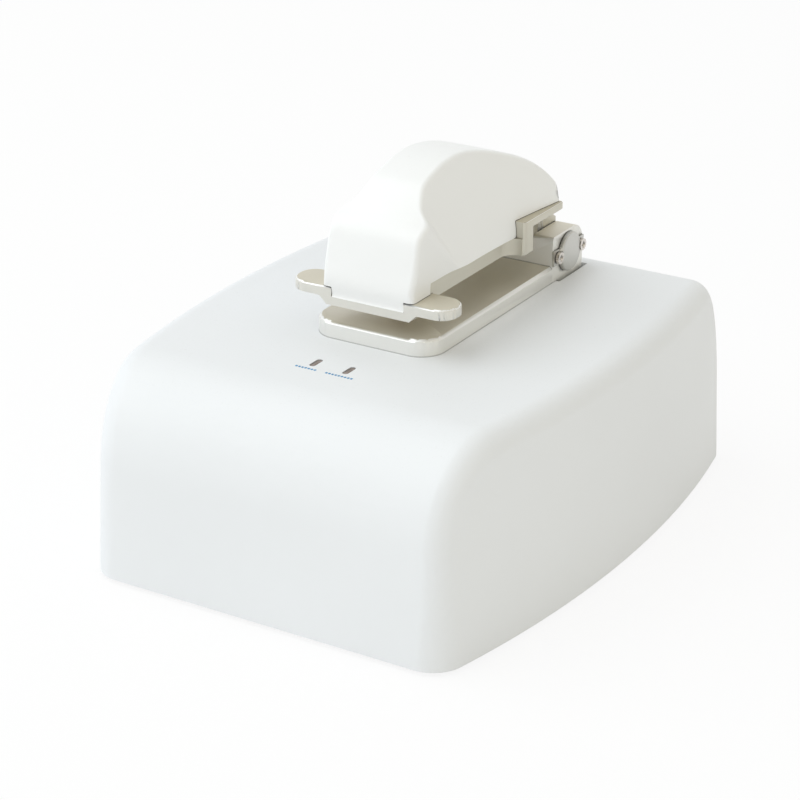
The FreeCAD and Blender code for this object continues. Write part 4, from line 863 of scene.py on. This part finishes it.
def add_floor(colour, width=8.0, glow_share=0.86):
    """A pale floor that the viewer sees nearly white, with the object's soft shadow kept."""
    bpy.ops.object.select_all(action="DESELECT")
    bpy.ops.mesh.primitive_plane_add(size=width, location=(0.0, 0.0, 0.0))
    floor = bpy.context.active_object
    floor.name = "floor"
    paper = bpy.data.materials.new("Studio paper")
    paper.use_nodes = True
    tree = paper.node_tree
    surface = tree.nodes["Principled BSDF"]
    surface.inputs["Base Color"].default_value = (*colour, 1.0)
    surface.inputs["Roughness"].default_value = 0.9
    glow = tree.nodes.new("ShaderNodeEmission")
    share = maths(tree, "MULTIPLY", seen_directly(tree), glow_share)
    mixed = mix_shaders(tree, share, surface.outputs["BSDF"], glow.outputs["Emission"])
    tree.links.new(mixed, tree.nodes["Material Output"].inputs["Surface"])
    paint(floor, paper)


def add_world(studio):
    """Light from all around, cool on the left and warm on the right, with a backdrop seen as white."""
    world = bpy.data.worlds.new("Studio light")
    world.use_nodes = True
    bpy.context.scene.world = world
    tree = world.node_tree
    direction = tree.nodes.new("ShaderNodeSeparateXYZ")
    tree.links.new(tree.nodes.new("ShaderNodeTexCoord").outputs["Generated"], direction.inputs["Vector"])
    across, rise = direction.outputs["X"], direction.outputs["Z"]

    ambient = tree.nodes["Background"]
    sides = mix_colours(tree, spread(tree, across, -0.6, 0.8), studio.left_colour, studio.right_colour)
    tree.links.new(sides, ambient.inputs["Color"])
    ambient.inputs["Strength"].default_value = studio.sky_level

    mirrored = tree.nodes.new("ShaderNodeBackground")
    walls = mix_colours(tree, spread(tree, across, 0.0, 0.8), WHITE, studio.mirrored_colour)
    tree.links.new(walls, mirrored.inputs["Color"])
    tree.links.new(spread(tree, rise, 0.05, 0.45, 1.0, studio.ceiling_level), mirrored.inputs["Strength"])

    backdrop = tree.nodes.new("ShaderNodeBackground")
    backdrop.inputs["Color"].default_value = (*WHITE, 1.0)
    camera_ray = tree.nodes.new("ShaderNodeLightPath").outputs["Is Camera Ray"]
    lit = mix_shaders(tree, seen_directly(tree), ambient.outputs["Background"],
                      mirrored.outputs["Background"])
    viewed = mix_shaders(tree, camera_ray, lit, backdrop.outputs["Background"])
    tree.links.new(viewed, tree.nodes["World Output"].inputs["Surface"])


def add_lamp(name, place, size, power, colour):
    """A square soft light at a place, turned to the middle of the object."""
    target = Vector((0.0, 0.0, 0.08))
    data = bpy.data.lights.new(name, "AREA")
    data.shape = "SQUARE"
    data.size = size
    data.energy = power
    data.color = colour
    lamp = bpy.data.objects.new(name, data)
    lamp.location = place
    lamp.rotation_euler = (target - Vector(place)).to_track_quat("-Z", "Y").to_euler()
    bpy.context.scene.collection.objects.link(lamp)


class SPECTRO_OT_stage(bpy.types.Operator):
    """Lay the pale floor and set the soft lights"""

    bl_idname = "spectro.stage"
    bl_label = "Studio"

    def execute(self, context):
        studio = context.scene.spectro_studio
        add_floor(studio.floor_colour)
        add_world(studio)
        add_lamp("key_light", place=(-1.10, -0.85, 1.75), size=2.4, power=studio.key_power,
                 colour=(0.93, 0.975, 1.0))
        add_lamp("fill_light", place=(1.5, -0.3, 0.8), size=1.2, power=studio.fill_power,
                 colour=(1.0, 0.92, 0.78))
        context.scene.view_settings.view_transform = "Standard"
        return {"FINISHED"}


class SPECTRO_OT_camera(bpy.types.Operator):
    """Set the camera to the photograph's angle"""

    bl_idname = "spectro.camera"
    bl_label = "Camera"

    def execute(self, context):
        view = context.scene.spectro_camera
        right_angle = math.pi / 2
        turn = Euler((right_angle - view.elevation, 0.0, right_angle + view.azimuth)).to_matrix()
        place = Vector(view.aim) + turn @ Vector((0.0, 0.0, view.distance))
        data = bpy.data.cameras.new("photo_camera")
        data.sensor_width = 36.0
        data.lens = view.lens
        camera = bpy.data.objects.new("photo_camera", data)
        camera.matrix_world = Matrix.Translation(place) @ turn.to_4x4()
        context.scene.collection.objects.link(camera)
        context.scene.camera = camera
        return {"FINISHED"}


class SPECTRO_PT_panel(bpy.types.Panel):
    """Settings and buttons for every part of the scene"""

    bl_idname = "SPECTRO_PT_panel"
    bl_label = "Spectrophotometer"
    bl_space_type = "VIEW_3D"
    bl_region_type = "UI"
    bl_category = "Spectrophotometer"

    def draw(self, context):
        for name, group in GROUPS:
            for label in group.__annotations__:
                self.layout.prop(getattr(context.scene, name), label)
        for operator in OPERATORS:
            self.layout.operator(operator.bl_idname)


OPERATORS = (
    SPECTRO_OT_effects,
    SPECTRO_OT_camera,
    SPECTRO_OT_stage,
    SPECTRO_OT_housing,
    SPECTRO_OT_cover,
    SPECTRO_OT_anodised,
    SPECTRO_OT_hinge_trim,
    SPECTRO_OT_sheet_metal,
    SPECTRO_OT_dark_parts,
    SPECTRO_OT_small_parts,
    SPECTRO_OT_light_marks,
    SPECTRO_OT_socket_contacts,
    SPECTRO_OT_rocker_marks,
)
GROUPS = (
    ("spectro_housing", HousingSettings),
    ("spectro_metal", MetalSettings),
    ("spectro_trim", TrimSettings),
    ("spectro_studio", StudioSettings),
    ("spectro_camera", CameraSettings),
)


def register():
    """Register the settings on the scene, the operators and the panel."""
    for name, group in GROUPS:
        bpy.utils.register_class(group)
        setattr(bpy.types.Scene, name, PointerProperty(type=group))
    for item in OPERATORS + (SPECTRO_PT_panel,):
        bpy.utils.register_class(item)


def unregister():
    """Take away all that register added, in reverse."""
    for item in reversed(OPERATORS + (SPECTRO_PT_panel,)):
        bpy.utils.unregister_class(item)
    for name, group in reversed(GROUPS):
        delattr(bpy.types.Scene, name)
        bpy.utils.unregister_class(group)


def main():
    """Build the whole scene."""
    register()
    for operator in OPERATORS:
        category, name = operator.bl_idname.split(".")
        getattr(getattr(bpy.ops, category), name)()


if __name__ == "__main__":
    main()
